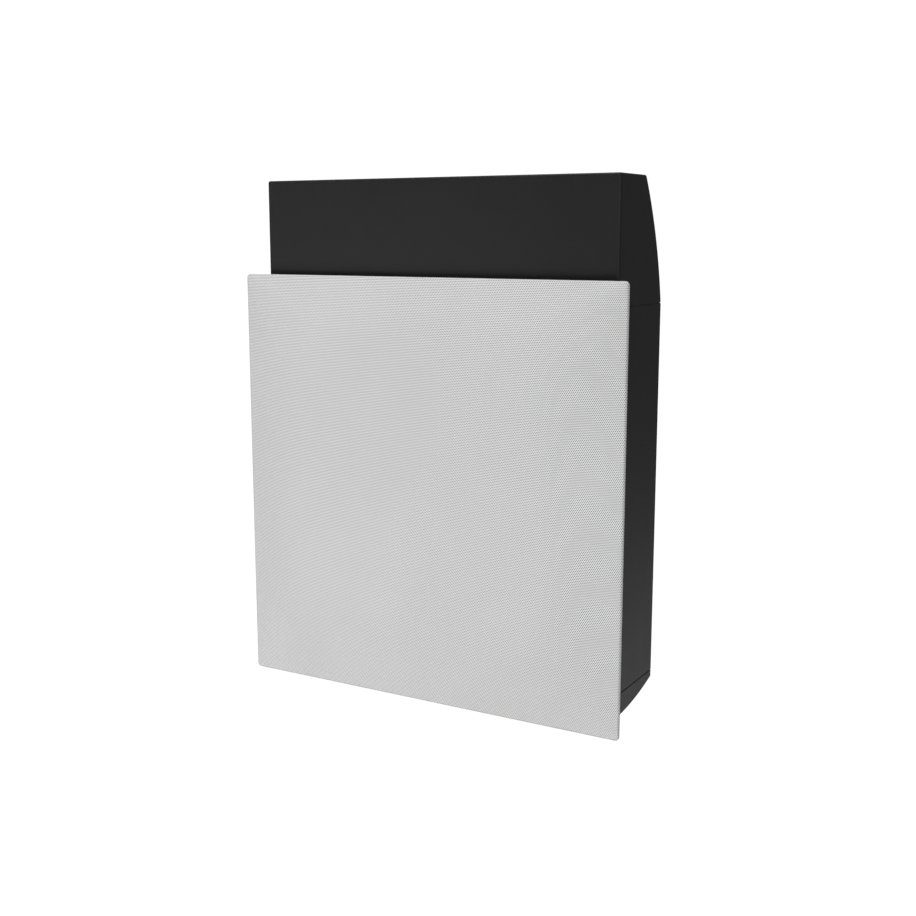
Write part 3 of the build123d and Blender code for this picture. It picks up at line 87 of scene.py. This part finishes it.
# ---------------------------------------------------------------- node helpers
class Mat:
    """A material with short calls for its nodes."""

    def __init__(self, name):
        self.mat = bpy.data.materials.new(name)
        self.mat.use_nodes = True
        self.tree = self.mat.node_tree
        self.bsdf = self.tree.nodes["Principled BSDF"]
        self.coord = None

    def new(self, kind, **values):
        node = self.tree.nodes.new(kind)
        for key, value in values.items():
            setattr(node, key, value)
        return node

    def link(self, a, b):
        self.tree.links.new(a, b)

    def obj(self):
        if self.coord is None:
            self.coord = self.new("ShaderNodeTexCoord")
        return self.coord.outputs["Object"]

    def xyz(self):
        sep = self.new("ShaderNodeSeparateXYZ")
        self.link(self.obj(), sep.inputs[0])
        return sep.outputs

    def math(self, op, a, b=None, c=None, clamp=False):
        node = self.new("ShaderNodeMath", operation=op, use_clamp=clamp)
        for socket, value in zip(node.inputs, (a, b, c)):
            if value is None:
                continue
            if isinstance(value, (int, float)):
                socket.default_value = value
            else:
                self.link(value, socket)
        return node.outputs[0]

    def noise(self, scale, detail=4.0, rough=0.55, stretch=None):
        node = self.new("ShaderNodeTexNoise")
        node.inputs["Scale"].default_value = scale
        node.inputs["Detail"].default_value = detail
        node.inputs["Roughness"].default_value = rough
        source = self.obj()
        if stretch:
            mapping = self.new("ShaderNodeMapping")
            mapping.inputs["Scale"].default_value = stretch
            self.link(source, mapping.inputs["Vector"])
            source = mapping.outputs[0]
        self.link(source, node.inputs["Vector"])
        return node.outputs["Fac"]

    def cells(self, scale, feature="F1"):
        node = self.new("ShaderNodeTexVoronoi", feature=feature)
        node.inputs["Scale"].default_value = scale
        self.link(self.obj(), node.inputs["Vector"])
        return node.outputs["Distance"]

    def ramp(self, source, stops):
        node = self.new("ShaderNodeValToRGB")
        elements = node.color_ramp.elements
        while len(elements) < len(stops):
            elements.new(0.5)
        for element, (place, colour) in zip(elements, stops):
            element.position = place
            if isinstance(colour, (int, float)):
                colour = (colour, colour, colour)
            element.color = (*colour, 1.0)
        self.link(source, node.inputs["Fac"])
        return node.outputs["Color"]

    def span(self, source, low, high, to_low, to_high, smooth=False):
        node = self.new("ShaderNodeMapRange")
        if smooth:
            node.interpolation_type = "SMOOTHSTEP"
        for key, value in (
            ("From Min", low),
            ("From Max", high),
            ("To Min", to_low),
            ("To Max", to_high),
        ):
            node.inputs[key].default_value = value
        self.link(source, node.inputs["Value"])
        return node.outputs["Result"]

    def bump(self, height, distance, strength=1.0, normal=None):
        node = self.new("ShaderNodeBump")
        node.inputs["Strength"].default_value = strength
        node.inputs["Distance"].default_value = distance
        self.link(height, node.inputs["Height"])
        if normal is not None:
            self.link(normal, node.inputs["Normal"])
        return node.outputs["Normal"]

    def put(self, socket, source):
        if hasattr(source, "is_linked") or isinstance(source, bpy.types.NodeSocket):
            self.link(source, self.bsdf.inputs[socket])
        else:
            self.bsdf.inputs[socket].default_value = source


def grey(level):
    return (level, level, level)


def textured(
    name,
    colour,
    rough,
    grain=2500.0,
    depth=0.00004,
    spread=0.06,
    tint=0.12,
    metal=0.0,
    specular=0.5,
    coat=0.0,
):
    """A finish with fine grain, uneven sheen and a slight drift of colour."""
    m = Mat(name)
    fine = m.noise(grain, 3.0, 0.6)
    broad = m.noise(38.0, 3.0, 0.5)
    low = tuple(c * (1 - tint) for c in colour)
    high = tuple(min(1.0, c * (1 + tint)) for c in colour)
    m.put("Base Color", m.ramp(broad, [(0.3, low), (0.7, high)]))
    m.put("Roughness", m.span(broad, 0.25, 0.75, rough - spread, rough + spread))
    m.put("Normal", m.bump(fine, depth))
    m.put("Metallic", metal)
    m.put("Specular IOR Level", specular)
    if coat:
        m.put("Coat Weight", coat)
        m.put("Coat Roughness", 0.15)
    return m.mat


# ------------------------------------------------------------------- materials
def grille_material():
    """Pale powder coat on sheet with round holes in staggered rows. The holes
    run on round the folded rim. At its sides and foot they are drawn larger
    and darker, a painted shade for the dark hollow they open on; on the top
    fold, which takes the light from above, they stay as on the face."""
    m = Mat("grille_paint")
    pitch = 1.6377 * MM
    row = pitch * math.sqrt(3.0) / 2
    hole = 0.42 * MM
    x, y, z = m.xyz()
    geometry = m.new("ShaderNodeNewGeometry")
    facing = m.new("ShaderNodeSeparateXYZ")
    m.link(geometry.outputs["Normal"], facing.inputs[0])
    depth = m.math("ADD", y, 2.65 * MM)

    def unfold(along, normal):
        side = m.math("GREATER_THAN", m.math("ABSOLUTE", normal), 0.6)
        way = m.math("MULTIPLY", m.math("SIGN", along), side)
        return m.math("MULTIPLY_ADD", way, depth, along)

    u = unfold(x, facing.outputs[0])
    v = unfold(z, facing.outputs[2])

    def lattice(du, dv):
        a = m.math("WRAP", m.math("ADD", u, du), pitch / 2, -pitch / 2)
        b = m.math("WRAP", m.math("ADD", v, dv), row, -row)
        aa = m.math("MULTIPLY", a, a)
        return m.math("MULTIPLY_ADD", b, b, aa)

    start_u, start_v = 0.2507 * MM, -0.65 * MM
    first = lattice(start_u, start_v)
    second = lattice(start_u + pitch / 2, start_v + row)
    # Painted shade: at the rim's sides and foot, but not on its top fold, the holes grow by up to 0.1 mm and
    # their colour falls from 0.08 to 0.01.
    out = m.math("MAXIMUM", m.math("ABSOLUTE", x), m.math("MULTIPLY", z, -1.0))
    rim = m.span(out, 193.3 * MM, 194.1 * MM, 0.0, 1.0, smooth=True)
    apart = m.math("SQRT", m.math("MINIMUM", first, second))
    distance = m.math("MULTIPLY_ADD", rim, -0.1 * MM, apart)
    paint = m.span(distance, hole * 0.7, hole * 1.3, 0.0, 1.0, smooth=True)
    broad = m.noise(9.0, 2.0, 0.5)
    tone = m.ramp(broad, [(0.3, grey(0.752)), (0.7, grey(0.777))])
    shade = m.new("ShaderNodeMix", data_type="RGBA")
    m.link(paint, shade.inputs["Factor"])
    m.link(m.ramp(rim, [(0.0, grey(0.08)), (1.0, grey(0.01))]), shade.inputs["A"])
    m.link(tone, shade.inputs["B"])
    m.put("Base Color", shade.outputs["Result"])
    m.put("Roughness", m.span(paint, 0.0, 1.0, 0.9, 0.55))
    m.put("Specular IOR Level", 0.35)
    powder = m.bump(m.noise(1800.0, 2.0, 0.5), 0.00002, 0.5)
    lip = m.span(distance, hole * 0.85, hole * 1.25, 0.0, 1.0, smooth=True)
    m.put("Normal", m.bump(lip, 0.00012, 0.35, powder))
    return m.mat


def box_material(name, level, rough):
    """Matt black coat with a fine sandy texture."""
    m = Mat(name)
    grain = m.noise(2100.0, 4.0, 0.65)
    broad = m.noise(14.0, 3.0, 0.5)
    fine = m.noise(420.0, 2.0, 0.5)
    m.put("Base Color", m.ramp(broad, [(0.3, grey(level * 0.92)), (0.7, grey(level * 1.08))]))
    blend = m.math("MULTIPLY_ADD", fine, 0.4, m.math("MULTIPLY", broad, 0.6))
    m.put("Roughness", m.span(blend, 0.25, 0.75, rough - 0.04, rough + 0.04))
    m.put("Specular IOR Level", 0.17)
    m.put("Normal", m.bump(grain, 0.00005, 0.6))
    return m.mat


def turned(name, colour, rough, axis_z, rings=900.0, depth=0.00002, metal=0.0, specular=0.5):
    """Fine rings round a driver's own axis, as on pressed or turned parts."""
    m = Mat(name)
    x, y, z = m.xyz()
    dz = m.math("SUBTRACT", z, axis_z)
    radius = m.math("SQRT", m.math("MULTIPLY_ADD", x, x, m.math("MULTIPLY", dz, dz)))
    wave = m.math("SINE", m.math("MULTIPLY", radius, rings * 2 * math.pi))
    broad = m.noise(60.0, 4.0, 0.6)
    low = tuple(c * 0.85 for c in colour)
    high = tuple(min(1.0, c * 1.15) for c in colour)
    m.put("Base Color", m.ramp(broad, [(0.3, low), (0.7, high)]))
    m.put("Roughness", m.span(broad, 0.25, 0.75, rough - 0.06, rough + 0.06))
    m.put("Normal", m.bump(wave, depth, 0.5, m.bump(m.noise(1500.0, 3.0), 0.00002, 0.4)))
    m.put("Metallic", metal)
    m.put("Specular IOR Level", specular)
    return m.mat


def woven(name, colour, pitch, rough=0.85, sheen=0.2):
    """Plain weave on an upright cloth."""
    m = Mat(name)
    x, y, z = m.xyz()
    k = 2 * math.pi / pitch
    a = m.math("SINE", m.math("MULTIPLY", x, k))
    b = m.math("SINE", m.math("MULTIPLY", z, k))
    height = m.math("MULTIPLY", a, b)
    # Painted shade and painted highlight: the colour follows the weave's height, 0.6 of the yarn's colour in
    # its hollows and 1.3 on its crests.
    low = tuple(c * 0.6 for c in colour)
    high = tuple(min(1.0, c * 1.3) for c in colour)
    unit = m.span(height, -1.0, 1.0, 0.0, 1.0)
    m.put("Base Color", m.ramp(unit, [(0.1, low), (0.9, high)]))
    m.put("Roughness", m.span(m.noise(50.0), 0.3, 0.7, rough - 0.05, rough + 0.05))
    m.put("Normal", m.bump(unit, pitch * 0.3, 0.7))
    m.put("Sheen Weight", sheen)
    return m.mat


def winding(name, colour, pitch, along):
    """Close turns of enamelled wire, stacked along one axis."""
    m = Mat(name)
    axis = m.xyz()[along]
    wave = m.math("ABSOLUTE", m.math("SINE", m.math("MULTIPLY", axis, math.pi / pitch)))
    low = tuple(c * 0.35 for c in colour)
    # Painted shade: the colour falls to 0.35 of the wire's own in the grooves between turns, following the
    # bump.
    m.put("Base Color", m.ramp(wave, [(0.0, low), (0.45, colour)]))
    m.put("Roughness", m.span(m.noise(80.0), 0.3, 0.7, 0.24, 0.36))
    m.put("Metallic", 0.85)
    m.put("Normal", m.bump(wave, pitch * 0.4, 0.8))
    return m.mat


def pair(name, colour_a, colour_b, split, rough=0.45):
    """One colour each side of an upright plane, for the two wires of a pair."""
    m = Mat(name)
    x, y, z = m.xyz()
    side = m.math("GREATER_THAN", split(m, x, y, z), 0.0)
    m.put("Base Color", m.ramp(side, [(0.0, colour_a), (1.0, colour_b)]))
    m.put("Roughness", m.span(m.noise(120.0), 0.3, 0.7, rough - 0.05, rough + 0.05))
    m.put("Normal", m.bump(m.noise(900.0, 3.0), 0.00004, 0.4))
    return m.mat


WZ, TZ = -46.0 * MM, 102.0 * MM
black_box = box_material("box_black", 0.0122, 0.45)
black_caps = box_material("cap_black", 0.0122, 0.45)
looks = {
    "grille": grille_material(),
    "body_tube": black_box,
    "top_cap": black_caps,
    "bottom_cap": black_caps,
    "front_frame": textured("frame_plastic", grey(0.02), 0.5, 1600.0, 0.00005),
    "grille_magnets": textured("magnet_nickel", (0.72, 0.70, 0.67), 0.22, 900.0, 0.00001, metal=1.0),
    "frame_seal": textured("seal_foam", grey(0.012), 0.9, 1300.0, 0.00018),
    "frame_screws": textured("screw_zinc", (0.60, 0.59, 0.56), 0.32, 1200.0, 0.00002, metal=1.0),
    "baffle": textured("baffle_paint", grey(0.014), 0.62, 900.0, 0.00007),
    "baffle_screws": textured("screw_black", grey(0.045), 0.38, 1200.0, 0.00002, metal=0.8),
    "braces": textured("raw_board", (0.40, 0.27, 0.15), 0.8, 1100.0, 0.0001, tint=0.2),
    "woofer_basket": textured("basket_paint", grey(0.022), 0.42, 1100.0, 0.00006),
    "woofer_trim_ring": textured("trim_rubber", grey(0.016), 0.55, 1500.0, 0.00003),
    "woofer_cone": turned("cone_sheet", grey(0.032), 0.42, WZ, 260.0, 0.00005),
    "woofer_dust_cap": turned("dust_cap", grey(0.026), 0.34, WZ, 420.0, 0.00002),
    "woofer_former": textured("former_foil", (0.70, 0.70, 0.71), 0.3, 1400.0, 0.00002, metal=1.0),
    "woofer_coil": winding("coil_wire", (0.72, 0.34, 0.14), 0.35 * MM, 1),
    "woofer_top_plate": turned("plate_zinc", (0.58, 0.57, 0.53), 0.32, WZ, 700.0, metal=1.0),
    "woofer_magnet": textured("ferrite", grey(0.035), 0.6, 700.0, 0.00012),
    "woofer_yoke": turned("yoke_zinc", (0.58, 0.57, 0.53), 0.34, WZ, 600.0, metal=1.0),
    "woofer_terminal_strip": textured("fibre_board", (0.34, 0.16, 0.06), 0.55, 500.0, 0.00005),
    "woofer_tags": textured("tag_tin", (0.72, 0.70, 0.62), 0.3, 900.0, 0.00002, metal=1.0),
    "tweeter_faceplate": turned("faceplate", grey(0.018), 0.46, TZ, 1200.0, 0.00002),
    "tweeter_dome": turned("dome_silk", grey(0.02), 0.5, TZ, 1600.0, 0.00002),
    "tweeter_coil": winding("tweeter_wire", (0.72, 0.34, 0.14), 0.15 * MM, 1),
    "tweeter_top_plate": turned("tweeter_zinc", (0.58, 0.57, 0.53), 0.32, TZ, 700.0, metal=1.0),
    "tweeter_terminals": textured("terminal_fibre", (0.30, 0.15, 0.06), 0.5, 500.0, 0.00005),
    "crossover_board": textured("board_mask", (0.02, 0.16, 0.06), 0.35, 600.0, 0.00003),
    "crossover_inductors": winding("choke_wire", (0.70, 0.33, 0.13), 1.0 * MM, 1),
    "crossover_capacitors": textured("film_wrap", (0.62, 0.45, 0.08), 0.3, 500.0, 0.00003),
    "crossover_resistor": textured("cement", (0.72, 0.71, 0.66), 0.8, 700.0, 0.0001),
    "crossover_standoffs": textured("brass_bar", (0.78, 0.56, 0.22), 0.3, 900.0, 0.00002, metal=1.0),
    "terminal_cup": textured("cup_plastic", grey(0.018), 0.48, 1500.0, 0.00005),
    "terminal_cap_red": textured("cap_red", (0.46, 0.012, 0.012), 0.5, 1200.0, 0.00003, specular=0.3),
    "terminal_cap_black": textured("cap_black_satin", grey(0.014), 0.5, 1200.0, 0.00003, specular=0.3),
    "cap_seals": textured("seam_rubber", grey(0.016), 0.7, 1300.0, 0.00006),
    "input_wires": pair(
        "input_pair", (0.40, 0.012, 0.012), grey(0.015),
        lambda m, x, y, z: m.math("ADD", m.math("MULTIPLY_ADD", z, -0.42, x), 0.164),
    ),
    "woofer_wires": pair(
        "woofer_pair", (0.40, 0.012, 0.012), grey(0.015),
        lambda m, x, y, z: m.math("SUBTRACT", m.math("MULTIPLY_ADD", z, 0.14, x), 0.0565),
    ),
    "tweeter_wires": pair(
        "tweeter_pair", (0.40, 0.012, 0.012), grey(0.015),
        lambda m, x, y, z: m.math("SUBTRACT", m.math("MULTIPLY_ADD", z, -0.42, x), -0.04),
    ),
}
same_as = {
    "baffle_seal": "frame_seal",
    "woofer_seal": "frame_seal",
    "tweeter_seal": "frame_seal",
    "terminal_seal": "frame_seal",
    "cap_screws": "frame_screws",
    "crossover_screws": "frame_screws",
    "woofer_screws": "baffle_screws",
    "tweeter_screws": "baffle_screws",
    "terminal_screws": "baffle_screws",
    "terminal_posts": "crossover_standoffs",
    "tweeter_magnet": "woofer_magnet",
    "tweeter_yoke": "tweeter_top_plate",
}
for node, source in same_as.items():
    looks[node] = looks[source]

surround_rubber = turned("surround_rubber", grey(0.014), 0.4, WZ, 500.0, 0.00001)
spider_cloth = woven("spider_cloth", (0.46, 0.29, 0.10), 0.9 * MM)
dome_roll = turned("dome_roll", grey(0.02), 0.5, TZ, 1500.0, 0.00001)
lead_braid = textured("lead_braid", (0.58, 0.36, 0.18), 0.4, 1800.0, 0.0001, metal=0.9)
spring_steel = textured("spring_steel", (0.62, 0.61, 0.59), 0.26, 1500.0, 0.00001, metal=1.0)
scrim_cloth = woven("scrim_cloth", grey(0.02), 0.5 * MM, 0.9, 0.1)


def wadding_material():
    m = Mat("wadding")
    fibres = m.noise(240.0, 6.0, 0.7, stretch=(1.0, 0.35, 1.6))
    lumps = m.noise(30.0, 4.0, 0.6)
    m.put("Base Color", m.ramp(lumps, [(0.3, (0.62, 0.61, 0.58)), (0.7, (0.80, 0.79, 0.76))]))
    m.put("Roughness", m.span(lumps, 0.3, 0.7, 0.9, 1.0))
    m.put("Normal", m.bump(fibres, 0.0015, 0.8))
    m.put("Sheen Weight", 0.4)
    return m.mat


wadding = wadding_material()


# ---------------------------------------------------------------- mesh helpers
def add_mesh(name, verts, faces, mat, smooth_deg=35.0):
    mesh = bpy.data.meshes.new(name)
    mesh.from_pydata(verts, [], faces)
    mesh.validate()
    bm = bmesh.new()
    bm.from_mesh(mesh)
    bmesh.ops.recalc_face_normals(bm, faces=bm.faces)
    bm.to_mesh(mesh)
    bm.free()
    mesh.shade_smooth()
    mesh.set_sharp_from_angle(angle=math.radians(smooth_deg))
    mesh.materials.append(mat)
    obj = bpy.data.objects.new(name, mesh)
    scene.collection.objects.link(obj)
    return obj


def revolve(name, profile, axis_z, mat, turns=144, smooth_deg=35.0):
    """Closed ring from a closed profile of (radius, depth) points in mm, turned
    about the driver axis at height axis_z (metres)."""
    n = len(profile)
    verts, faces = [], []
    for i in range(turns):
        a = 2 * math.pi * i / turns
        c, s = math.cos(a), math.sin(a)
        for r, y in profile:
            verts.append((r * MM * c, y * MM, axis_z + r * MM * s))
    for i in range(turns):
        j = (i + 1) % turns
        for k in range(n):
            q = (k + 1) % n
            faces.append((i * n + k, i * n + q, j * n + q, j * n + k))
    return add_mesh(name, verts, faces, mat, smooth_deg)


def tube(name, path, radius, mat, sides=12):
    """Closed tube along a list of points in metres."""
    points = [Vector(p) for p in path]
    verts, faces = [], []
    up = None
    for i, p in enumerate(points):
        ahead = points[min(i + 1, len(points) - 1)] - points[max(i - 1, 0)]
        ahead.normalize()
        if up is None:
            up = ahead.orthogonal().normalized()
        up = (up - ahead * up.dot(ahead)).normalized()
        side = ahead.cross(up)
        for k in range(sides):
            a = 2 * math.pi * k / sides
            verts.append(tuple(p + (up * math.cos(a) + side * math.sin(a)) * radius))
    for i in range(len(points) - 1):
        for k in range(sides):
            q = (k + 1) % sides
            faces.append(
                (i * sides + k, i * sides + q, (i + 1) * sides + q, (i + 1) * sides + k)
            )
    faces.append(tuple(range(sides)))
    last = (len(points) - 1) * sides
    faces.append(tuple(last + k for k in reversed(range(sides))))
    return add_mesh(name, verts, faces, mat, 50.0)


def smooth01(t):
    t = np.clip(t, 0.0, 1.0)
    return t * t * (3 - 2 * t)


def set_follow(obj, weight):
    """weight(x, y, z) in metres: 0 stays on the first body, 1 goes with the second."""
    attribute = obj.data.attributes["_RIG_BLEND"]
    values = np.array([weight(*v.co) for v in obj.data.vertices], np.float32)
    attribute.data.foreach_set("value", values)


def arc(cx, cy, radius, start, stop, steps):
    out = []
    for i in range(steps + 1):
        a = math.radians(start + (stop - start) * i / steps)
        out.append((cx + radius * math.cos(a), cy + radius * math.sin(a)))
    return out


# ------------------------------------------------------------- soft and sprung
Y0 = 16.2
SHOULDER = Y0 + 1.7


def woofer_surround():
    lip, cy = SHOULDER - 0.6, SHOULDER - 0.3
    profile = [(92.8, SHOULDER), (92.8, lip), (89.0, lip)]
    profile += arc(79.0, cy, 6.6, -2.6, -177.4, 28)
    profile += [(70.0, lip), (67.5, lip), (67.5, SHOULDER), (70.0, SHOULDER)]
    profile += arc(79.0, cy, 6.0, -182.9, 2.9, 28)
    profile += [(89.0, SHOULDER)]
    obj = revolve("woofer_roll", profile, WZ, surround_rubber, 160)
    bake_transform(obj, "enclosure", "woofer_diaphragm", (0.0, 0.0, WZ + 0.0855), (0.0, 0.0, WZ + 0.0728))
    set_follow(
        obj,
        lambda x, y, z: float(smooth01((85.5 * MM - math.hypot(x, z - WZ)) / (12.7 * MM))),
    )
    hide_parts("woofer_surround")


def woofer_spider():
    back, thick = 45.0, 0.5
    waves, r_in, r_out = 8, 21.5, 46.0

    def wave(r):
        if r <= r_in or r >= r_out:
            return 0.0
        return -1.2 * math.sin(math.pi * (r - r_in) / ((r_out - r_in) / waves))

    radii = [20.0] + [r_in + (r_out - r_in) * i / 96 for i in range(97)] + [49.0, 53.0]
    front = [(r, back - thick + wave(r)) for r in radii]
    rear = [(r, back + wave(r)) for r in reversed(radii)]
    neck = SHOULDER + (67.0 - 18.9) * 0.474 + 3.2
    profile = [(18.9, back), (18.9, neck), (19.5, neck), (19.5, back - thick)] + front + rear
    obj = revolve("woofer_corrugated_spider", profile, WZ, spider_cloth, 120)
    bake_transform(obj, "enclosure", "woofer_diaphragm", (0.0, 0.0, WZ + 0.047), (0.0, 0.0, WZ + 0.020))
    set_follow(
        obj,
        lambda x, y, z: float(np.clip((46.0 * MM - math.hypot(x, z - WZ)) / (25.5 * MM), 0, 1)),
    )
    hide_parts("woofer_spider")


def tweeter_surround():
    tb = Y0 + 4.0
    profile = [(16.1, tb + 0.6), (20.3, tb + 0.6), (20.3, tb), (16.4, tb)]
    profile += arc(14.675, tb + 0.0125, 1.725, -2.0, -178.0, 18)
    profile += [(12.65, tb), (12.65, tb + 0.4)]
    profile += arc(14.675, tb + 0.137, 1.45, -190.0, 10.0, 18)
    obj = revolve("tweeter_roll", profile, TZ, dome_roll, 128)
    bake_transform(obj, "enclosure", "tweeter_diaphragm", (0.0, 0.0, TZ + 0.0162), (0.0, 0.0, TZ + 0.0130))
    set_follow(
        obj,
        lambda x, y, z: float(smooth01((16.2 * MM - math.hypot(x, z - TZ)) / (3.2 * MM))),
    )
    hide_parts("tweeter_surround")


def bezier(points, steps):
    out = []
    n = len(points) - 1
    for i in range(steps + 1):
        t = i / steps
        p = Vector((0.0, 0.0, 0.0))
        for k, q in enumerate(points):
            p += Vector(q) * (math.comb(n, k) * t**k * (1 - t) ** (n - k))
        out.append(p)
    return out


def woofer_leads():
    end_y = SHOULDER + (67.0 - 44.5) * 0.474 + 0.885 + 0.35
    for label, dz in (("low", -6.0), ("high", 6.0)):
        z = WZ + dz * MM
        path = bezier(
            [
                (64.0 * MM, 47.5 * MM, z),
                (64.5 * MM, 36.0 * MM, z),
                (54.0 * MM, 38.5 * MM, z),
                (47.0 * MM, 36.0 * MM, z),
                (44.0 * MM, end_y * MM, z),
            ],
            28,
        )
        obj = tube("woofer_lead_" + label, path, 0.7 * MM, lead_braid)
        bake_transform(obj, "enclosure", "woofer_diaphragm", (0.064, 0.0, z), (0.044, 0.0, z))
        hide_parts("woofer_leads")


def terminal_springs():
    low, high = 261.0, 270.5
    for label, x, body in (("red", -108.0, "push_cap_red"), ("black", -82.0, "push_cap_black")):
        path = []
        turns, steps = 4.5, 180
        for i in range(steps + 1):
            t = i / steps
            a = 2 * math.pi * turns * t
            path.append(
                (
                    (x + 4.4 * math.cos(a)) * MM,
                    (42.0 + 4.4 * math.sin(a)) * MM,
                    (low + (high - low) * t) * MM,
                )
            )
        obj = tube("spring_" + label, path, 0.42 * MM, spring_steel, 10)
        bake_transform(obj, "enclosure", body, (x * MM, 0.042, low * MM), (x * MM, 0.042, high * MM))
        set_follow(obj, lambda px, py, pz: float(np.clip((pz / MM - low) / (high - low), 0, 1)))
        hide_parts("terminal_springs")


def grid_box(low, high, step):
    """Surface of a box as a welded grid of quads."""
    low, high = Vector(low), Vector(high)
    count = [max(2, round((high[i] - low[i]) / step)) for i in range(3)]
    index, verts, faces = {}, [], []

    def vert(i, j, k):
        key = (i, j, k)
        if key not in index:
            index[key] = len(verts)
            verts.append(
                [low[a] + (high[a] - low[a]) * key[a] / count[a] for a in range(3)]
            )
        return index[key]

    for axis in range(3):
        p, q = [a for a in range(3) if a != axis]
        for end in (0, count[axis]):
            for i in range(count[p]):
                for j in range(count[q]):
                    corner = []
                    for di, dj in ((0, 0), (1, 0), (1, 1), (0, 1)):
                        key = [0, 0, 0]
                        key[axis], key[p], key[q] = end, i + di, j + dj
                        corner.append(vert(*key))
                    faces.append(corner if end else corner[::-1])
    return verts, faces


def wadding_pad(name, node, flat_side):
    """Lumpy soft pad that fills its solid, flat where it is stuck on."""
    low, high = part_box(node)
    verts, faces = grid_box(low, high, 0.006)
    radius = 0.012
    for v in verts:
        p = Vector(v)
        inner = Vector(
            [min(max(p[a], low[a] + radius), high[a] - radius) for a in range(3)]
        )
        off = p - inner
        if off.length > radius:
            p = inner + off.normalized() * radius
        lump = noise.fractal(p * 26.0, 0.9, 2.0, 3) * 0.0016
        centre = (low + high) / 2
        away = p - centre
        away = Vector([away[a] / (high[a] - low[a]) for a in range(3)]).normalized()
        p = p - away * (0.0018 + lump)
        if abs(v[1] - (high[1] if flat_side > 0 else low[1])) < 1e-6:
            p[1] = v[1]
        v[:] = list(p)
    obj = add_mesh(name, verts, faces, wadding, 70.0)
    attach(obj, "enclosure")
    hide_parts(node)


def scrim_sheet():
    """Thin cloth bonded flat to the back of the grille."""
    half, radius = 192.0 * MM, 3.0 * MM
    front, back = -1.85 * MM, -1.5 * MM
    outline = []
    for cx, cz, start in ((1, 1, 0), (-1, 1, 90), (-1, -1, 180), (1, -1, 270)):
        for i in range(7):
            a = math.radians(start + 15.0 * i)
            outline.append(
                (
                    cx * (half - radius) + radius * math.cos(a),
                    cz * (half - radius) + radius * math.sin(a),
                )
            )
    n = len(outline)
    verts = [(x, front, z) for x, z in outline] + [(x, back, z) for x, z in outline]
    faces = [tuple(range(n)), tuple(reversed(range(n, 2 * n)))]
    faces += [(k, (k + 1) % n, n + (k + 1) % n, n + k) for k in range(n)]
    obj = add_mesh("scrim_sheet", verts, faces, scrim_cloth)
    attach(obj, "grille_panel")
    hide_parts("grille_scrim")


woofer_surround()
woofer_spider()
tweeter_surround()
woofer_leads()
terminal_springs()
wadding_pad("wadding_back", "damping_back", 1)
wadding_pad("wadding_top", "damping_top", -1)
scrim_sheet()

for name, mat in looks.items():
    mesh = nodes[name].data
    if mesh.materials:
        for i in range(len(mesh.materials)):
            mesh.materials[i] = mat
    else:
        mesh.materials.append(mat)

# ---------------------------------------------------------------- light, floor
world = bpy.data.worlds.new("studio")
scene.world = world
world.use_nodes = True
wt = world.node_tree
for node in list(wt.nodes):
    wt.nodes.remove(node)
out = wt.nodes.new("ShaderNodeOutputWorld")
white = wt.nodes.new("ShaderNodeBackground")
white.inputs["Color"].default_value = (1, 1, 1, 1)
white.inputs["Strength"].default_value = 1.05
soft = wt.nodes.new("ShaderNodeBackground")
soft.inputs["Color"].default_value = (1, 1, 1, 1)
coord = wt.nodes.new("ShaderNodeTexCoord")
dot = wt.nodes.new("ShaderNodeVectorMath")
dot.operation = "DOT_PRODUCT"
dot.inputs[1].default_value = (-0.05, -0.01, 0.03)
wt.links.new(coord.outputs["Generated"], dot.inputs[0])
base = wt.nodes.new("ShaderNodeMath")
base.operation = "ADD"
base.inputs[1].default_value = 0.18
wt.links.new(dot.outputs["Value"], base.inputs[0])
wt.links.new(base.outputs[0], soft.inputs["Strength"])
path = wt.nodes.new("ShaderNodeLightPath")
mix = wt.nodes.new("ShaderNodeMixShader")
wt.links.new(path.outputs["Is Camera Ray"], mix.inputs["Fac"])
wt.links.new(soft.outputs[0], mix.inputs[1])
wt.links.new(white.outputs[0], mix.inputs[2])
wt.links.new(mix.outputs[0], out.inputs["Surface"])


def area_light(name, place, target, size, power):
    data = bpy.data.lights.new(name, "AREA")
    data.shape = "SQUARE"
    data.size = size
    data.energy = power
    obj = bpy.data.objects.new(name, data)
    scene.collection.objects.link(obj)
    obj.location = place
    obj.rotation_euler = (Vector(target) - Vector(place)).to_track_quat("-Z", "Y").to_euler()
    return obj


area_light("key", (-1.7, -1.5, 1.5), (-0.05, 0.0, 0.05), 1.0, 6.0)
area_light("low", (-1.05, -1.5, -0.27), (-0.05, 0.0, -0.1), 0.6, 9.7)
area_light("top", (-0.1, 0.05, 1.7), (0.0, 0.05, 0.28), 1.5, 25.5)
area_light("fill", (2.4, -4.3, 0.35), (0.1, 0.0, 0.05), 1.6, 58.0)
area_light("rim", (2.5, -1.2, 0.5), (0.18, 0.0, 0.05), 0.9, 8.5)

floor_verts = [(-3, -3, -0.6), (3, -3, -0.6), (3, 3, -0.6), (-3, 3, -0.6)]
floor_mat = Mat("pale_floor")
floor_mat.put("Base Color", floor_mat.ramp(floor_mat.noise(3.0), [(0.0, grey(0.70)), (1.0, grey(0.74))]))
floor_mat.put("Roughness", 0.9)
# The floor glows as a painted pool of light: brightest (0.43) at (0.4, 0.7, -0.6), under and behind the
# object, and fading to nothing 2.1 m away. It lights the object from below, and the camera doesn't see the
# floor.
floor_mat.put("Emission Color", (1.0, 1.0, 1.0, 1.0))
away = floor_mat.new("ShaderNodeVectorMath", operation="DISTANCE")
floor_mat.link(floor_mat.obj(), away.inputs[0])
away.inputs[1].default_value = (0.4, 0.7, -0.6)
floor_mat.put("Emission Strength", floor_mat.span(away.outputs["Value"], 0.4, 2.1, 0.43, 0.0))
floor = add_mesh("floor", floor_verts, [(0, 1, 2, 3)], floor_mat.mat)
floor.visible_camera = False
